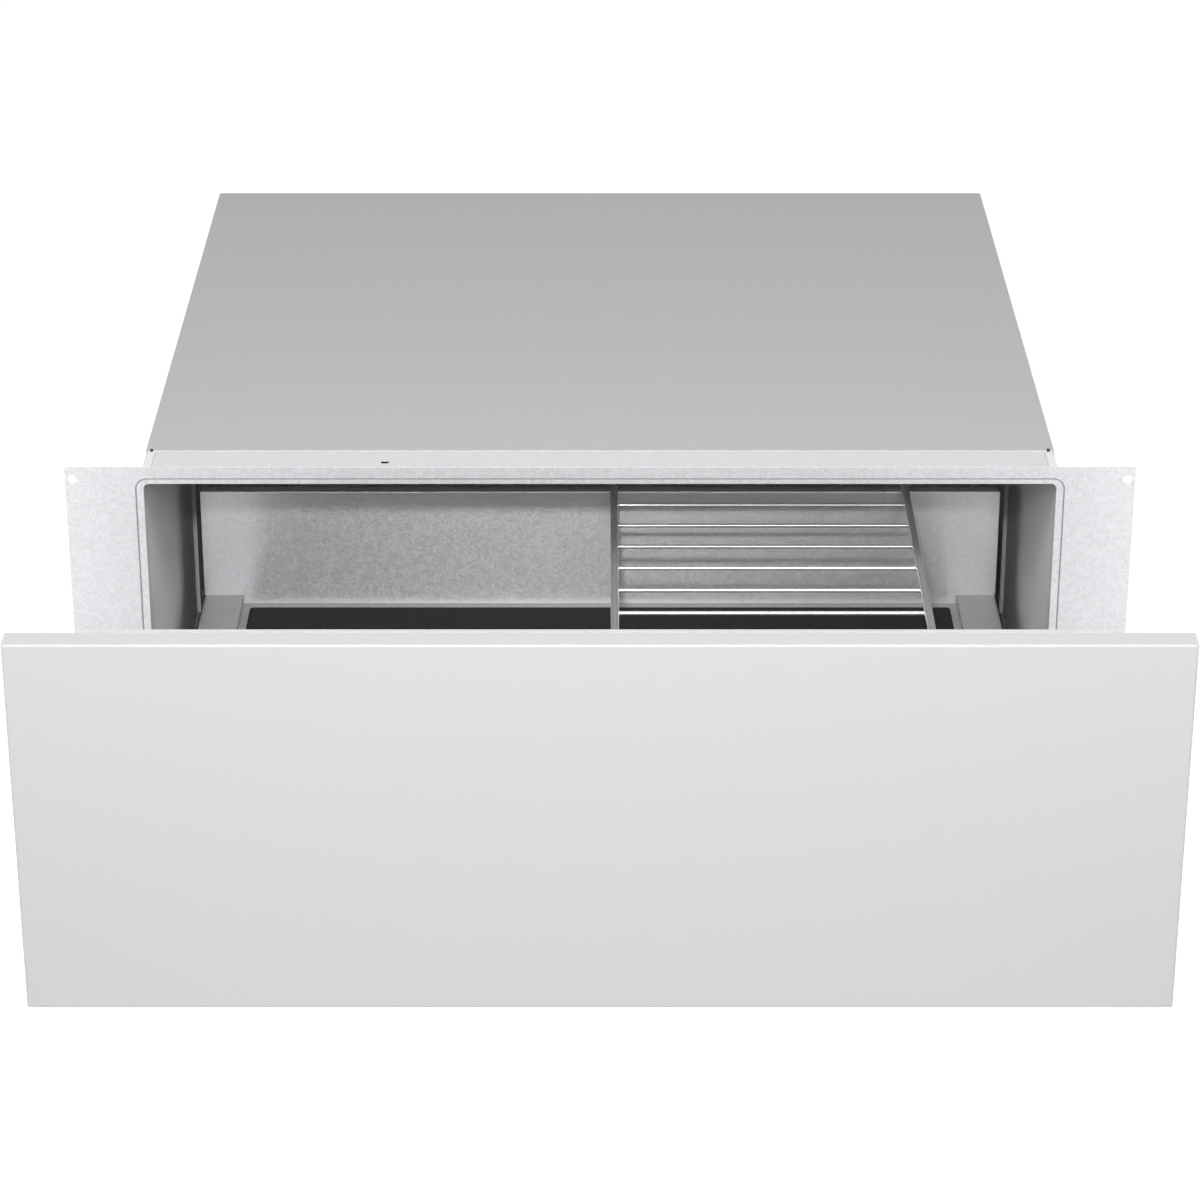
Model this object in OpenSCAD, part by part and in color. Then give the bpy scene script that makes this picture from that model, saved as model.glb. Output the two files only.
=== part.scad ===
// Built-in warming drawer with a flat cabinet front.
// Origin: centre of the flange's rear face, where it seats on the cabinet. +X right, +Y into
// the cabinet, +Z up. Drawer pieces are drawn closed and moved out by drawer_open.

/* [Pose] */
// How far the drawer stands open
drawer_open = 261; // [0:0.5:440]

/* [Front panel] */
// Width of the front panel
panel_w = 755.6; // [700:0.1:800]
// Height of the front panel
panel_h = 265; // [250:0.5:290]
// Thickness of the front panel
panel_t = 18; // [14:0.5:25]
// Radius of the panel's front edges
panel_edge_r = 1.6; // [0.5:0.1:4]

/* [Mounting frame] */
// Width of the flange over both ears
flange_w = 750.5; // [715:0.5:780]
// Height of the flange
flange_h = 265; // [262:0.5:290]
// Thickness of the flange sheet
flange_t = 1.5; // [1.3:0.1:3]
// Width of the mouth
mouth_w = 641; // [600:0.5:660]
// Distance from the flange's top or bottom edge to the mouth
mouth_rim = 12.8; // [12.4:0.1:15]
// Corner radius of the mouth
mouth_r = 4; // [2:0.5:10]
// Width of the recessed ring at the sides of the mouth
ring_w = 5.9; // [3:0.1:8]
// Width of the recessed ring above and below the mouth
ring_h = 4.5; // [3:0.1:5]
// Depth of the recessed ring below the flange face
ring_depth = 1; // [0.4:0.1:1.2]
// Depth of the rolled lip behind the flange
lip_depth = 14; // [6:0.5:20]
// Diameter of the screw holes in the ears
ear_hole_d = 7; // [4:0.1:8]
// Distance from an ear hole to the ear's outer edge
ear_hole_edge = 5.15; // [5:0.05:20]
// Distance from an ear hole to the flange's top or bottom edge
ear_hole_rise = 9.4; // [7:0.1:40]

/* [Housing] */
// Thickness of the housing and liner sheet
sheet = 0.8; // [0.6:0.1:1.2]
// Depth of the bay for fan, latch and electrics behind the cavity
bay_d = 138.8; // [130:0.2:170]
// Drop from the flange's top edge to the top of the cover
cover_drop = 4; // [3:0.1:5]
// Distance from the flange's rear face to the cover's front edge
cover_front = 39.8; // [20:0.2:60]
// Depth of the folded edges of cover and base pan
fold_h = 10; // [8:0.5:14]
// Depth of the folded sides of the two rear walls
wall_fold = 12; // [8:0.5:20]
// Height of the pressed feet
foot_h = 4; // [2:0.5:5]
// Radius of a foot where it stands
foot_r = 12; // [8:0.5:16]
// Gap between the slides' rear ends and the cavity's rear wall
slide_rear_gap = 16; // [14:0.5:40]
// Distance from the flange's rear face to the side channels
channel_y = 290.5; // [200:0.5:350]
// Width of a side channel
channel_w = 19; // [10:0.5:30]
// Depth of a side channel
channel_t = 2.4; // [1:0.1:4]
// Thickness of the insulation mats
insulation_t = 6; // [3:0.5:6]

/* [Drawer] */
// Thickness of the plate behind the panel
plate_t = 6.6; // [4:0.1:12]
// How far the plate reaches past each side of the mouth
plate_lap = 8.25; // [8:0.05:40]
// Gap between the closed drawer front and the flange, which the push latch needs
panel_gap = 3; // [1:0.1:5]
// Gap between the plate's edge and the panel's top or bottom edge
plate_inset = 0.6; // [0.2:0.1:6]
// Gap between the tray's skirts and the sides of the mouth
tray_gap = 16.5; // [16:0.1:24]
// Gap between the closed drawer's rear wall and the cavity's rear wall
tray_rear_gap = 12.5; // [12:0.5:30]
// Level of the ledge tops above the flange's centre
ledge_z = -57.2; // [-60:0.2:-50]
// Width of a ledge
ledge_w = 29.6; // [20:0.1:60]
// Height of a ledge above the tray floor
ledge_h = 6.95; // [3:0.05:9]
// Depth of the side skirts
skirt_h = 46.8; // [40:0.2:60]
// Level of the rear wall's top edge
rear_wall_z = 29.6; // [10:0.2:60]
// Thickness of the rear wall's folded top edge
hem_t = 2; // [1.6:0.1:2.4]
// Thickness of the anti-slip mat
mat_t = 2; // [1:0.1:4]
// Gap between the mat's sides and the ledges
mat_gap = 5.9; // [1:0.1:20]
// Gap between the mat and the rear wall
mat_rear_gap = 10.8; // [1:0.1:40]

/* [Wire rack] */
// Diameter of the rack's side rods
rod_d = 6; // [4:0.1:8]
// Diameter of the rack's cross wires
wire_d = 3; // [2:0.1:4]
// Distance from the drawer's centre to the left rod
rack_x = 10.5; // [6:0.5:40]
// Distance between the two side rods
rack_w = 221; // [160:0.5:240]
// Pitch of the cross wires
wire_pitch = 38.4; // [20:0.2:60]
// Gap between the rear wall and the last cross wire
wire_rear_gap = 31.9; // [20:0.1:60]
// Distance from the front plate to the rack's front legs
leg_y = 36; // [20:0.5:60]
// Length of the hooks behind the rear wall
hook_h = 14; // [12:0.5:30]

/* [Slides] */
// Length of each slide member
slide_len = 450; // [440:1:500]
// Thickness of a slide across its three members
slide_t = 12.7; // [12.7:0.1:13.4]
// Diameter of the slide balls
ball_d = 3.8; // [3.2:0.1:4]
// Length of a ball cage
cage_len = 200; // [100:1:220]
// Balls in one row of a cage
cage_balls = 10; // [4:1:14]

/* [Hot-air fan] */
// Distance from the cavity's roof down to the fan's axis
fan_drop = 58.5; // [56.5:0.5:60.5]
// Radius of the fan wheel
wheel_r = 42; // [34:0.5:44]
// Number of blades
blades = 24; // [12:1:30]
// Radius of the ring heater
heater_r = 50; // [48:0.5:52]

/* [Hidden] */
$fn = 48;
eps = 0.01;

// Named clearances
seal_gap = 0.3;
running_gap = 0.05;
race_gap = 0.2;
soft_gap = 0.3;
screw_gap = 0.1;
seam_gap = 0.2;

// Mounting frame
mouth_x = mouth_w / 2;
mouth_h = flange_h - 2 * mouth_rim;
mouth_z = mouth_h / 2;
flange_z = flange_h / 2;
ear_hole_x = flange_w / 2 - ear_hole_edge;
ear_hole_z = flange_z - ear_hole_rise;
ring_x = mouth_x + ring_w;
ring_z = mouth_z + ring_h;
ring_lap = 1;
ring_back = ring_depth;

// Housing: the side sheets lie outside the lip, and the cover's folds outside the sides
side_in = mouth_x + sheet;
side_out = side_in + sheet;
cover_x = side_out + sheet;
cover_z = flange_z - cover_drop;
slide_y = 4;
cavity_d = slide_y + slide_len + slide_rear_gap;
housing_d = cavity_d + bay_d;
rail_z = cover_z - sheet;
base_z = -flange_z + foot_h;
base_top = base_z + sheet;
roof_z = mouth_z + sheet;
fan_z = roof_z - fan_drop;
rear_y = housing_d - sheet;
side_fold = 6;
bend_r = 1.8;
insulation_gap = 0.4;
rail_d = cover_front + 20;
rail_hole = [-151.8, 20];
rail_hole_d = 4.8;
rail_hole_len = 6.2;
notch = [2.4, 7];
notch_in = side_out - 4.6;
foot_x = mouth_x - 36;
foot_front_y = 45;
foot_rear_y = housing_d - 49;

// Drawer, in the closed place
plate_rear = -flange_t - panel_gap;
plate_front = plate_rear - plate_t;
panel_front = plate_front - panel_t;
plate_w = mouth_w + 2 * plate_lap;
plate_z = panel_h / 2 - plate_inset;
plate_wall = 1;
tray_x = mouth_x - tray_gap;
ledge_x = tray_x - ledge_w;
floor_z = ledge_z - ledge_h;
tray_rear = cavity_d - tray_rear_gap;
tray_d = tray_rear - plate_rear;
mat_top = floor_z + mat_t;
mat_front = 10;
mat_rear = tray_rear - mat_rear_gap;

// Slides: u runs from the fixed side to the drawer, v up from the slide's centre
slide_x = tray_x - sheet - slide_t;
slide_wall = 1.2;
race_r = ball_d / 2 + race_gap;
race_out = race_r + slide_wall;
outer_ball = [5.6, 19];
inner_ball = [7.4, 13.2];
slide_half = outer_ball[1] + race_out;
slide_z = ledge_z - sheet - 1.2 - slide_half;
middle_web = 2.2;
middle_wall = 1;
slide_mid_y = slide_y + slide_len / 2;
cage_t = 0.4;
bracket_t = 1.5;
bracket_foot = 27;

// Rack, in the closed place
rod_r = rod_d / 2;
hook_lift = 0.7;
hook_gap = 1;
wire_drop = 1.1;
hook_bend = rod_r + 3;
rod_z = rear_wall_z + rod_r + hook_lift;
hook_y = tray_rear + hem_t + rod_r + hook_gap;
foot_bar_z = mat_top + soft_gap + rod_r;
leg_bend = 10;
leg_place = plate_rear + leg_y;
wire_last = tray_rear - wire_rear_gap;
wire_count = floor((wire_last - leg_place - leg_bend) / wire_pitch) + 1;

// Fan, behind the cavity's rear wall
wall_back = cavity_d + sheet;
shroud_x = 150;
shroud_d = 37;
shroud_low = fan_z - heater_r - 8;
shroud_high = roof_z - 2;
shroud_rear = wall_back + shroud_d;
wheel_front = wall_back + 9;
wheel_len = 22;
heater_tube_r = 3.2;
shaft_r = 2.5;
hub_r = 8;
rotor_r = 13;
stack_y = shroud_rear + 16;
stack_t = 18;
shaft_end = stack_y + stack_t + 18;

latch_x = -60;
latch_z = -30;
latch_r = 5;
latch_len = 64;
gland_x = mouth_x - 70;
gland_z = base_z + 34;
gland_bore_r = 4.5;
board_size = [140, 84, 1.6];
board_place = [-mouth_x + 30, cavity_d + 16];
board_lift = 12;

// ---- Shapes used by several pieces ----

// A box from its lowest to its highest corner
module block(lo, hi) {
    translate(lo) cube(hi - lo);
}

// The same shape on the left or on the right of the centre plane
module on_left() {
    mirror([1, 0, 0]) children();
}

// Rectangle round the origin with round corners
module round_rect(w, h, r) {
    square([w - 2 * r, h], center = true);
    square([w, h - 2 * r], center = true);
    for (x = [-1, 1])
        for (y = [-1, 1])
            translate([x * (w / 2 - r), y * (h / 2 - r)]) circle(r);
}

// Stands a flat outline up in the X-Z plane, from y0 back to y1
module upright(y0, y1) {
    translate([0, y1, 0]) rotate([90, 0, 0]) linear_extrude(y1 - y0) children();
}

// Bar along X, Y or Z between two points that differ along that axis
module bar_x(r, x0, x1, y, z) {
    translate([x0, y, z]) rotate([0, 90, 0]) cylinder(r = r, h = x1 - x0);
}
module bar_y(r, x, y0, y1, z) {
    translate([x, y0, z]) rotate([-90, 0, 0]) cylinder(r = r, h = y1 - y0);
}
module bar_z(r, x, y, z0, z1) {
    translate([x, y, z0]) cylinder(r = r, h = z1 - z0);
}

// Quarter bend of a round bar in the plane of its two axes
module bend(r, radius) {
    rotate_extrude(angle = 90) translate([radius, 0]) circle(r);
}

// Sheet bent to a U that opens downwards: w wide, h deep, top face at y = 0
module sheet_u(w, h, t, r) {
    difference() {
        top_rounded(w, h, r);
        translate([0, -t]) top_rounded(w - 2 * t, h, r - t);
    }
}
module top_rounded(w, h, r) {
    translate([-w / 2, -h]) square([w, h - r]);
    translate([-w / 2 + r, -r - eps]) square([w - 2 * r, r + eps]);
    for (x = [-1, 1]) translate([x * (w / 2 - r), -r]) circle(r);
}

// Part of a ring between two angles below 180 degrees apart
module ring_sector(r_in, r_out, a0, a1) {
    far = 2 * r_out;
    mid = (a0 + a1) / 2;
    intersection() {
        difference() {
            circle(r_out, $fn = 32);
            circle(r_in, $fn = 32);
        }
        polygon([[0, 0], far * [cos(a0), sin(a0)], far * [cos(mid), sin(mid)],
            far * [cos(a1), sin(a1)]]);
    }
}

// ---- Drawer front ----

// Flat cabinet front: its four front edges and front corners are rounded
module front_panel() {
    x = panel_w / 2;
    z = panel_h / 2;
    r = panel_edge_r;
    y = panel_front;
    color("whitesmoke") translate([0, -drawer_open, 0]) difference() {
        union() {
            block([-x, y + r, -z], [x, plate_front, z]);
            block([-x + r, y, -z + r], [x - r, plate_front, z - r]);
            for (s = [-1, 1]) {
                bar_x(r, -x + r, x - r, y + r, s * (z - r));
                bar_z(r, s * (x - r), y + r, -z + r, z - r);
                for (t = [-1, 1]) translate([s * (x - r), y + r, t * (z - r)]) sphere(r);
            }
        }
        panel_screw_places() bar_y(screw_r + screw_gap, 0, plate_front - screw_bite, plate_front + 1, 0);
    }
}

// Sizes of the control strip and of the screws that hold the panel
strip_w = 300;
strip_rise = 7.7;
strip_top = mouth_z - strip_rise;
strip_h = 24;
strip_d = 11;
touch_pads = 5;
screw_r = 1.9;
screw_bite = 13;
screw_head_r = 4;
screw_head_h = 2.4;
panel_screw_x = tray_x - 49;
panel_screw_z = mouth_z - strip_rise - strip_h - 2 * screw_head_r;
module panel_screw_places() {
    for (x = [-1, 0, 1])
        for (z = [-1, 1]) translate([x * panel_screw_x, 0, z * panel_screw_z]) children();
}

// Shallow steel pan behind the panel, with rounded upright edges
module drawer_front_plate() {
    r = 3;
    color("lightgray") translate([0, -drawer_open, 0]) difference() {
        translate([0, (plate_front + plate_rear) / 2, -plate_z])
            linear_extrude(2 * plate_z) round_rect(plate_w, plate_t, r);
        block([-plate_w / 2 + r, plate_front - 1, -plate_z + plate_wall],
            [plate_w / 2 - r, plate_rear - plate_wall, plate_z - plate_wall]);
        panel_screw_places() bar_y(screw_r + screw_gap, 0, plate_front, plate_rear + 1, 0);
    }
}

// Silicone lip that meets the recessed ring when the drawer is shut
seal_edge = 0.5;
module front_seal() {
    lip_t = ring_depth + panel_gap - seal_gap;
    color("dimgray") translate([0, -drawer_open, 0]) upright(plate_rear, plate_rear + lip_t) difference() {
        round_rect(2 * (ring_x - seal_edge), 2 * (ring_z - seal_edge), mouth_r + ring_h - seal_edge);
        round_rect(mouth_w + 4 * seal_edge, mouth_h + 4 * seal_edge, mouth_r + 2 * seal_edge);
    }
}

// Touch strip on the back of the drawer front, read from above
module control_strip() {
    low = strip_top - strip_h;
    tilt = atan2(strip_d - 4, strip_h - 3);
    color("black") translate([-strip_w / 2, plate_rear - drawer_open, 0]) difference() {
        rotate([90, 0, 90]) linear_extrude(strip_w)
            polygon([[0, low], [strip_d, low], [strip_d, low + 2], [4, strip_top - 1], [3, strip_top],
                [0, strip_top]]);
        for (i = [0:touch_pads - 1])
            translate([strip_w * (i + 0.5) / touch_pads, (strip_d + 4) / 2, (low + strip_top + 1) / 2])
                rotate([-90 + tilt, 0, 0]) translate([0, 0, -0.3]) cylinder(r = 5, h = 5);
    }
}

// Six pan-head screws through the pan into the panel
module panel_screws() {
    color("silver") translate([0, -drawer_open, 0]) panel_screw_places() {
        bar_y(screw_r, 0, plate_front - screw_bite + 1, plate_rear + 0.5, 0);
        bar_y(screw_head_r, 0, plate_rear, plate_rear + screw_head_h, 0);
    }
}

// ---- Drawer box ----

// Half of the tray's section: floor, step, ledge with a rolled edge, skirt
module tray_half_section() {
    r = 2;
    translate([0, floor_z - sheet]) square([ledge_x + sheet, sheet]);
    translate([ledge_x, floor_z - sheet]) square([sheet, ledge_h + sheet]);
    translate([ledge_x, ledge_z - sheet]) square([ledge_w - r, sheet]);
    translate([tray_x - r, ledge_z - r]) ring_sector(r - sheet, r, -1, 91);
    translate([tray_x - sheet, ledge_z - skirt_h]) square([sheet, skirt_h - r]);
}

module drawer_tray() {
    color("silver") translate([0, -drawer_open, 0]) upright(plate_rear, tray_rear + sheet) {
        tray_half_section();
        mirror([1, 0]) tray_half_section();
    }
}

// Low rear wall with a folded top edge and folded sides
module drawer_rear_wall() {
    back = tray_rear + sheet;
    side_flange = 6;
    color("silver") translate([0, -drawer_open, 0]) {
        block([-ledge_x, tray_rear, floor_z], [ledge_x, back, ledge_z]);
        block([-tray_x, tray_rear, ledge_z], [tray_x, back, rear_wall_z - hem_t / 2]);
        block([-tray_x, tray_rear, rear_wall_z - 8], [tray_x, tray_rear + hem_t, rear_wall_z - hem_t / 2]);
        bar_x(hem_t / 2, -tray_x, tray_x, tray_rear + hem_t / 2, rear_wall_z - hem_t / 2);
        for (x = [-tray_x, tray_x - sheet])
            block([x, back, ledge_z], [x + sheet, back + side_flange, rear_wall_z - 8]);
    }
}

module anti_slip_mat() {
    w = 2 * (ledge_x - mat_gap);
    d = mat_rear - mat_front;
    color([0.16, 0.16, 0.16]) translate([0, (mat_rear + mat_front) / 2 - drawer_open, floor_z])
        linear_extrude(mat_t) round_rect(w, d, 3);
}

// Three hat sections across the underside of the floor
module tray_stiffeners() {
    half_w = ledge_x - 12;
    depth = 14;
    top_w = 24;
    color("silver") for (share = [0.2, 0.5, 0.8])
        translate([0, plate_rear + share * tray_d - drawer_open, floor_z - sheet])
            rotate([90, 0, 90]) linear_extrude(2 * half_w, center = true) {
                for (s = [-1, 1]) {
                    translate([s * (top_w / 2 + 6) - 6, -sheet]) square([12, sheet]);
                    translate([s * (top_w / 2 + sheet / 2) - sheet / 2, -depth]) square([sheet, depth]);
                }
                translate([-top_w / 2 - sheet, -depth]) square([top_w + 2 * sheet, sheet]);
            }
}

// Triangular bracket that ties the skirt to the front plate
module front_gusset() {
    t = 1.5;
    arm = 60;
    top = 20;
    tip = 12;
    drop = 8;
    gap = 3.5;
    foot_w = tray_gap - gap;
    low = ledge_z - skirt_h;
    color("silver") translate([0, plate_rear - drawer_open, 0]) {
        translate([tray_x, 0, 0]) rotate([90, 0, 90]) linear_extrude(t)
            polygon([[0, low], [arm, low], [arm, ledge_z - drop], [tip, top], [0, top]]);
        block([tray_x, 0, low], [tray_x + foot_w, t, top]);
    }
}
module front_gusset_right() {
    front_gusset();
}
module front_gusset_left() {
    on_left() front_gusset();
}

// ---- Telescopic slides, three members and two ball cages a side ----

// A section given for the upper half of a slide, with its mirror image below
module both_halves() {
    children();
    mirror([0, 1]) children();
}

// Length of member along Y, from its section in u and v
module slide_member(len, shift) {
    translate([slide_x, slide_mid_y - len / 2 - shift, slide_z])
        rotate([90, 0, 0]) translate([0, 0, -len]) linear_extrude(len) children();
}

// Fixed member: flat web, and a curved race over the outer balls
module outer_section() {
    both_halves() {
        square([slide_wall, slide_half]);
        translate([0, slide_half - slide_wall]) square([outer_ball[0], slide_wall]);
        translate(outer_ball) ring_sector(race_r, race_out, 10, 91);
    }
}

// Middle member: web, S-shaped rail that is the race of both rows of balls
module middle_section() {
    both_halves() {
        translate([middle_web, 0]) square([middle_wall, outer_ball[1] - 1.2]);
        translate(outer_ball) ring_sector(race_r, race_out, 200, 271);
        translate(outer_ball) ring_sector(race_r, race_out, 269, 340);
        translate(inner_ball) ring_sector(race_r, race_out, 10, 91);
        translate(inner_ball) ring_sector(race_r, race_out, 89, 170);
    }
}

// Moving member: curved race under the inner balls, flat web against the skirt
module inner_section() {
    both_halves() {
        translate([slide_t - slide_wall, 0]) square([slide_wall, inner_ball[1] - race_r]);
        translate([inner_ball[0], inner_ball[1] - race_out])
            square([slide_t - inner_ball[0], slide_wall]);
        translate(inner_ball) ring_sector(race_r, race_out, 200, 271);
    }
}

module slide_outer() {
    color("gainsboro") slide_member(slide_len, 0) outer_section();
}
module slide_middle() {
    color("gainsboro") slide_member(slide_len, drawer_open / 2) middle_section();
}
module slide_inner() {
    color("gainsboro") slide_member(slide_len, drawer_open) inner_section();
}

// Ball cage: a thin strip with pockets through each race, joined by a thin web
module ball_cage(ball, web_u, reach, shift) {
    pocket_r = ball_d / 2 + running_gap;
    pitch = cage_len / cage_balls;
    color("goldenrod") difference() {
        slide_member(cage_len, shift) both_halves() {
            translate([web_u, ball[1] - 0.4]) square([reach, cage_t]);
            translate([web_u, 0]) square([cage_t, ball[1]]);
        }
        ball_places(ball, shift, pitch) cylinder(r = pocket_r, h = 2, center = true);
    }
    color("silver") ball_places(ball, shift, pitch) sphere(ball_d / 2, $fn = 24);
}
module ball_places(ball, shift, pitch) {
    for (i = [0:cage_balls - 1])
        for (s = [-1, 1])
            translate([slide_x + ball[0], slide_mid_y - cage_len / 2 + (i + 0.5) * pitch - shift,
                slide_z + s * ball[1]]) children();
}
module outer_cage() {
    ball_cage(outer_ball, slide_wall + 0.3, 7.8, drawer_open / 4);
}
module inner_cage() {
    ball_cage(inner_ball, middle_web + middle_wall + 0.3, 7, drawer_open * 3 / 4);
}

module slide_outer_right() {
    slide_outer();
}
module slide_outer_left() {
    on_left() slide_outer();
}
module slide_middle_right() {
    slide_middle();
}
module slide_middle_left() {
    on_left() slide_middle();
}
module slide_inner_right() {
    slide_inner();
}
module slide_inner_left() {
    on_left() slide_inner();
}
module outer_cage_right() {
    outer_cage();
}
module outer_cage_left() {
    on_left() outer_cage();
}
module inner_cage_right() {
    inner_cage();
}
module inner_cage_left() {
    on_left() inner_cage();
}

// Angle that carries the fixed member: foot on the base pan, upright with windows
module slide_bracket() {
    windows = 4;
    top = slide_z + slide_half - 1;
    window_h = slide_z - slide_half - base_top - 6;
    front = lip_depth + seam_gap;
    rear = slide_y + slide_len;
    pitch = (rear - front) / windows;
    color("silver") difference() {
        union() {
            block([slide_x - bracket_t, front, base_top], [slide_x, rear, top]);
            block([slide_x - bracket_foot, front, base_top], [slide_x, rear, base_top + bracket_t]);
        }
        for (i = [0:windows - 1])
            block([slide_x - 3, front + (i + 0.2) * pitch, base_top + 4],
                [slide_x + 1, front + (i + 0.8) * pitch, base_top + 4 + window_h]);
    }
}
module slide_bracket_right() {
    slide_bracket();
}
module slide_bracket_left() {
    on_left() slide_bracket();
}

// ---- Wire rack ----

// One bent rod a side: hook behind the rear wall, long straight, front leg; then the foot bar
module wire_rack() {
    foot_bend = 8;
    color("silver") translate([rack_x, -drawer_open, 0]) {
        for (x = [0, rack_w]) {
            bar_y(rod_r, x, leg_place + leg_bend, hook_y - hook_bend, rod_z);
            translate([x, hook_y - hook_bend, rod_z - hook_bend]) rotate([0, -90, 0])
                bend(rod_r, hook_bend);
            bar_z(rod_r, x, hook_y, rod_z - hook_h, rod_z - hook_bend);
            translate([x, leg_place + leg_bend, rod_z - leg_bend]) rotate([0, -90, 0]) rotate([0, 0, -90])
                bend(rod_r, leg_bend);
            bar_z(rod_r, x, leg_place, foot_bar_z + foot_bend, rod_z - leg_bend);
        }
        translate([foot_bend, leg_place, foot_bar_z + foot_bend]) rotate([90, 0, 0])
            rotate([0, 0, 180]) bend(rod_r, foot_bend);
        translate([rack_w - foot_bend, leg_place, foot_bar_z + foot_bend]) rotate([90, 0, 0])
            rotate([0, 0, 270]) bend(rod_r, foot_bend);
        bar_x(rod_r, foot_bend, rack_w - foot_bend, leg_place, foot_bar_z);
        for (i = [0:wire_count - 1])
            bar_x(wire_d / 2, 0, rack_w, wire_last - i * wire_pitch, rod_z - wire_drop);
    }
}

// ---- Housing ----

// Flange with ears, recessed ring and rolled lip round the mouth
module mounting_frame() {
    color("gainsboro") difference() {
        union() {
            upright(-flange_t, 0) difference() {
                square([flange_w, flange_h], center = true);
                round_rect(2 * ring_x, 2 * ring_z, mouth_r + ring_h);
            }
            upright(-flange_t + ring_depth, 0) ring_outline(eps);
            upright(0, ring_back) ring_outline(ring_lap);
            upright(-flange_t + ring_depth, lip_depth) difference() {
                round_rect(mouth_w + 2 * sheet, mouth_h + 2 * sheet, mouth_r + sheet);
                round_rect(mouth_w, mouth_h, mouth_r);
            }
        }
        for (x = [-1, 1])
            for (z = [-1, 1]) bar_y(ear_hole_d / 2, x * ear_hole_x, -flange_t - 1, 1, z * ear_hole_z);
    }
}
module ring_outline(grow) {
    difference() {
        round_rect(2 * (ring_x + grow), 2 * (ring_z + grow), mouth_r + ring_h + grow);
        round_rect(mouth_w, mouth_h, mouth_r);
    }
}

// Strip between the flange and the cover, folded down at the flange
module front_rail() {
    half_w = side_out - side_fold - seam_gap;
    color("gainsboro") difference() {
        union() {
            block([-half_w, 0, rail_z - sheet], [half_w, rail_d, rail_z]);
            block([-half_w, ring_back, roof_z + sheet], [half_w, ring_back + sheet, rail_z]);
        }
        translate([rail_hole[0], rail_hole[1], rail_z - 3]) linear_extrude(6) {
            square([rail_hole_len - rail_hole_d, rail_hole_d], center = true);
            for (s = [-1, 1]) translate([s * (rail_hole_len - rail_hole_d) / 2, 0]) circle(rail_hole_d / 2);
        }
    }
}

// Relief cut at a front corner of the cover and of the side sheet below it
module corner_notch() {
    block([notch_in, cover_front - 1, rail_z - 2],
        [notch_in + notch[0], cover_front + notch[1], cover_z + 1]);
}

// Side sheet with its inward fold at the top
module side_panel() {
    r = bend_r - sheet + seam_gap;
    color("gainsboro") difference() {
        union() {
            block([side_in, ring_back, base_top], [side_out, rear_y, rail_z - r]);
            block([side_out - side_fold, 0, rail_z - sheet], [side_out - r, rear_y - sheet, rail_z]);
            upright(0, rear_y - sheet) translate([side_out - r, rail_z - r])
                ring_sector(r - sheet, r, -1, 91);
        }
        corner_notch();
    }
}
module side_panel_right() {
    side_panel();
}
module side_panel_left() {
    on_left() side_panel();
}

// Upright channel on the cavity's side wall
module side_channel() {
    flange = 3;
    low = base_top + fold_h + 1;
    color("gainsboro") {
        block([side_in - channel_t, channel_y + flange, low],
            [side_in - channel_t + sheet, channel_y + channel_w - flange, roof_z]);
        for (y = [channel_y + flange, channel_y + channel_w - flange - sheet])
            block([side_in - channel_t, y, low], [side_in, y + sheet, roof_z]);
        for (y = [channel_y, channel_y + channel_w - flange])
            block([side_in - sheet, y, low], [side_in, y + flange, roof_z]);
    }
}
module side_channel_right() {
    side_channel();
}
module side_channel_left() {
    on_left() side_channel();
}

// Base sheet: folds up inside the sides and behind the rear panel, four pressed feet
module base_pan() {
    rim = 0.6;
    slope = 6;
    color("gainsboro") {
        difference() {
            union() {
                block([-side_out, 0, base_z], [side_out, housing_d, base_top]);
                for (x = [-side_in, side_in - sheet])
                    block([x, lip_depth + 2, base_z], [x + sheet, rear_y - sheet, base_top + fold_h]);
                block([-side_out, rear_y, base_z], [side_out, housing_d, base_z + fold_h]);
            }
            foot_places() translate([0, 0, -1]) cylinder(r = foot_r + slope, h = 3);
        }
        foot_places() rotate_extrude()
            polygon([[0, -foot_h], [foot_r, -foot_h], [foot_r + slope, 0], [foot_r + slope + rim, 0],
                [foot_r + slope + rim, sheet], [foot_r + slope - rim, sheet],
                [foot_r - rim, sheet - foot_h], [0, sheet - foot_h]]);
    }
}
module foot_places() {
    for (x = [-1, 1])
        for (y = [foot_front_y, foot_rear_y]) translate([x * foot_x, y, base_z]) children();
}

// Cover sheet folded down at the sides and the rear, notched at its front corners
module top_cover() {
    color("gainsboro") difference() {
        union() {
            translate([0, 0, cover_z]) upright(cover_front, housing_d)
                sheet_u(2 * cover_x, fold_h, sheet, bend_r);
            block([-cover_x + bend_r, rear_y, cover_z - fold_h], [cover_x - bend_r, housing_d, cover_z]);
        }
        corner_notch();
        on_left() corner_notch();
        for (s = [-1, 1]) translate([s * cover_x, cover_front, cover_z]) rotate([0, 0, 45])
            cube([4.6, 4.6, 6], center = true);
        cover_screw_places() bar_y(cover_screw_r + screw_gap, 0, rear_y - 1, housing_d + 1, 0);
    }
}

cover_screw_r = 1.45;
cover_screw_rows = 4;
module cover_screw_places() {
    for (i = [0:cover_screw_rows - 1])
        translate([(mouth_x - 40) * (2 * i / (cover_screw_rows - 1) - 1), 0, cover_z - fold_h / 2 - 0.5])
            children();
}
module cover_screws() {
    color("silver") cover_screw_places() {
        bar_y(cover_screw_r, 0, housing_d - 8, housing_d + 0.5, 0);
        bar_y(3, 0, housing_d, housing_d + 1.8, 0);
    }
}

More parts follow.
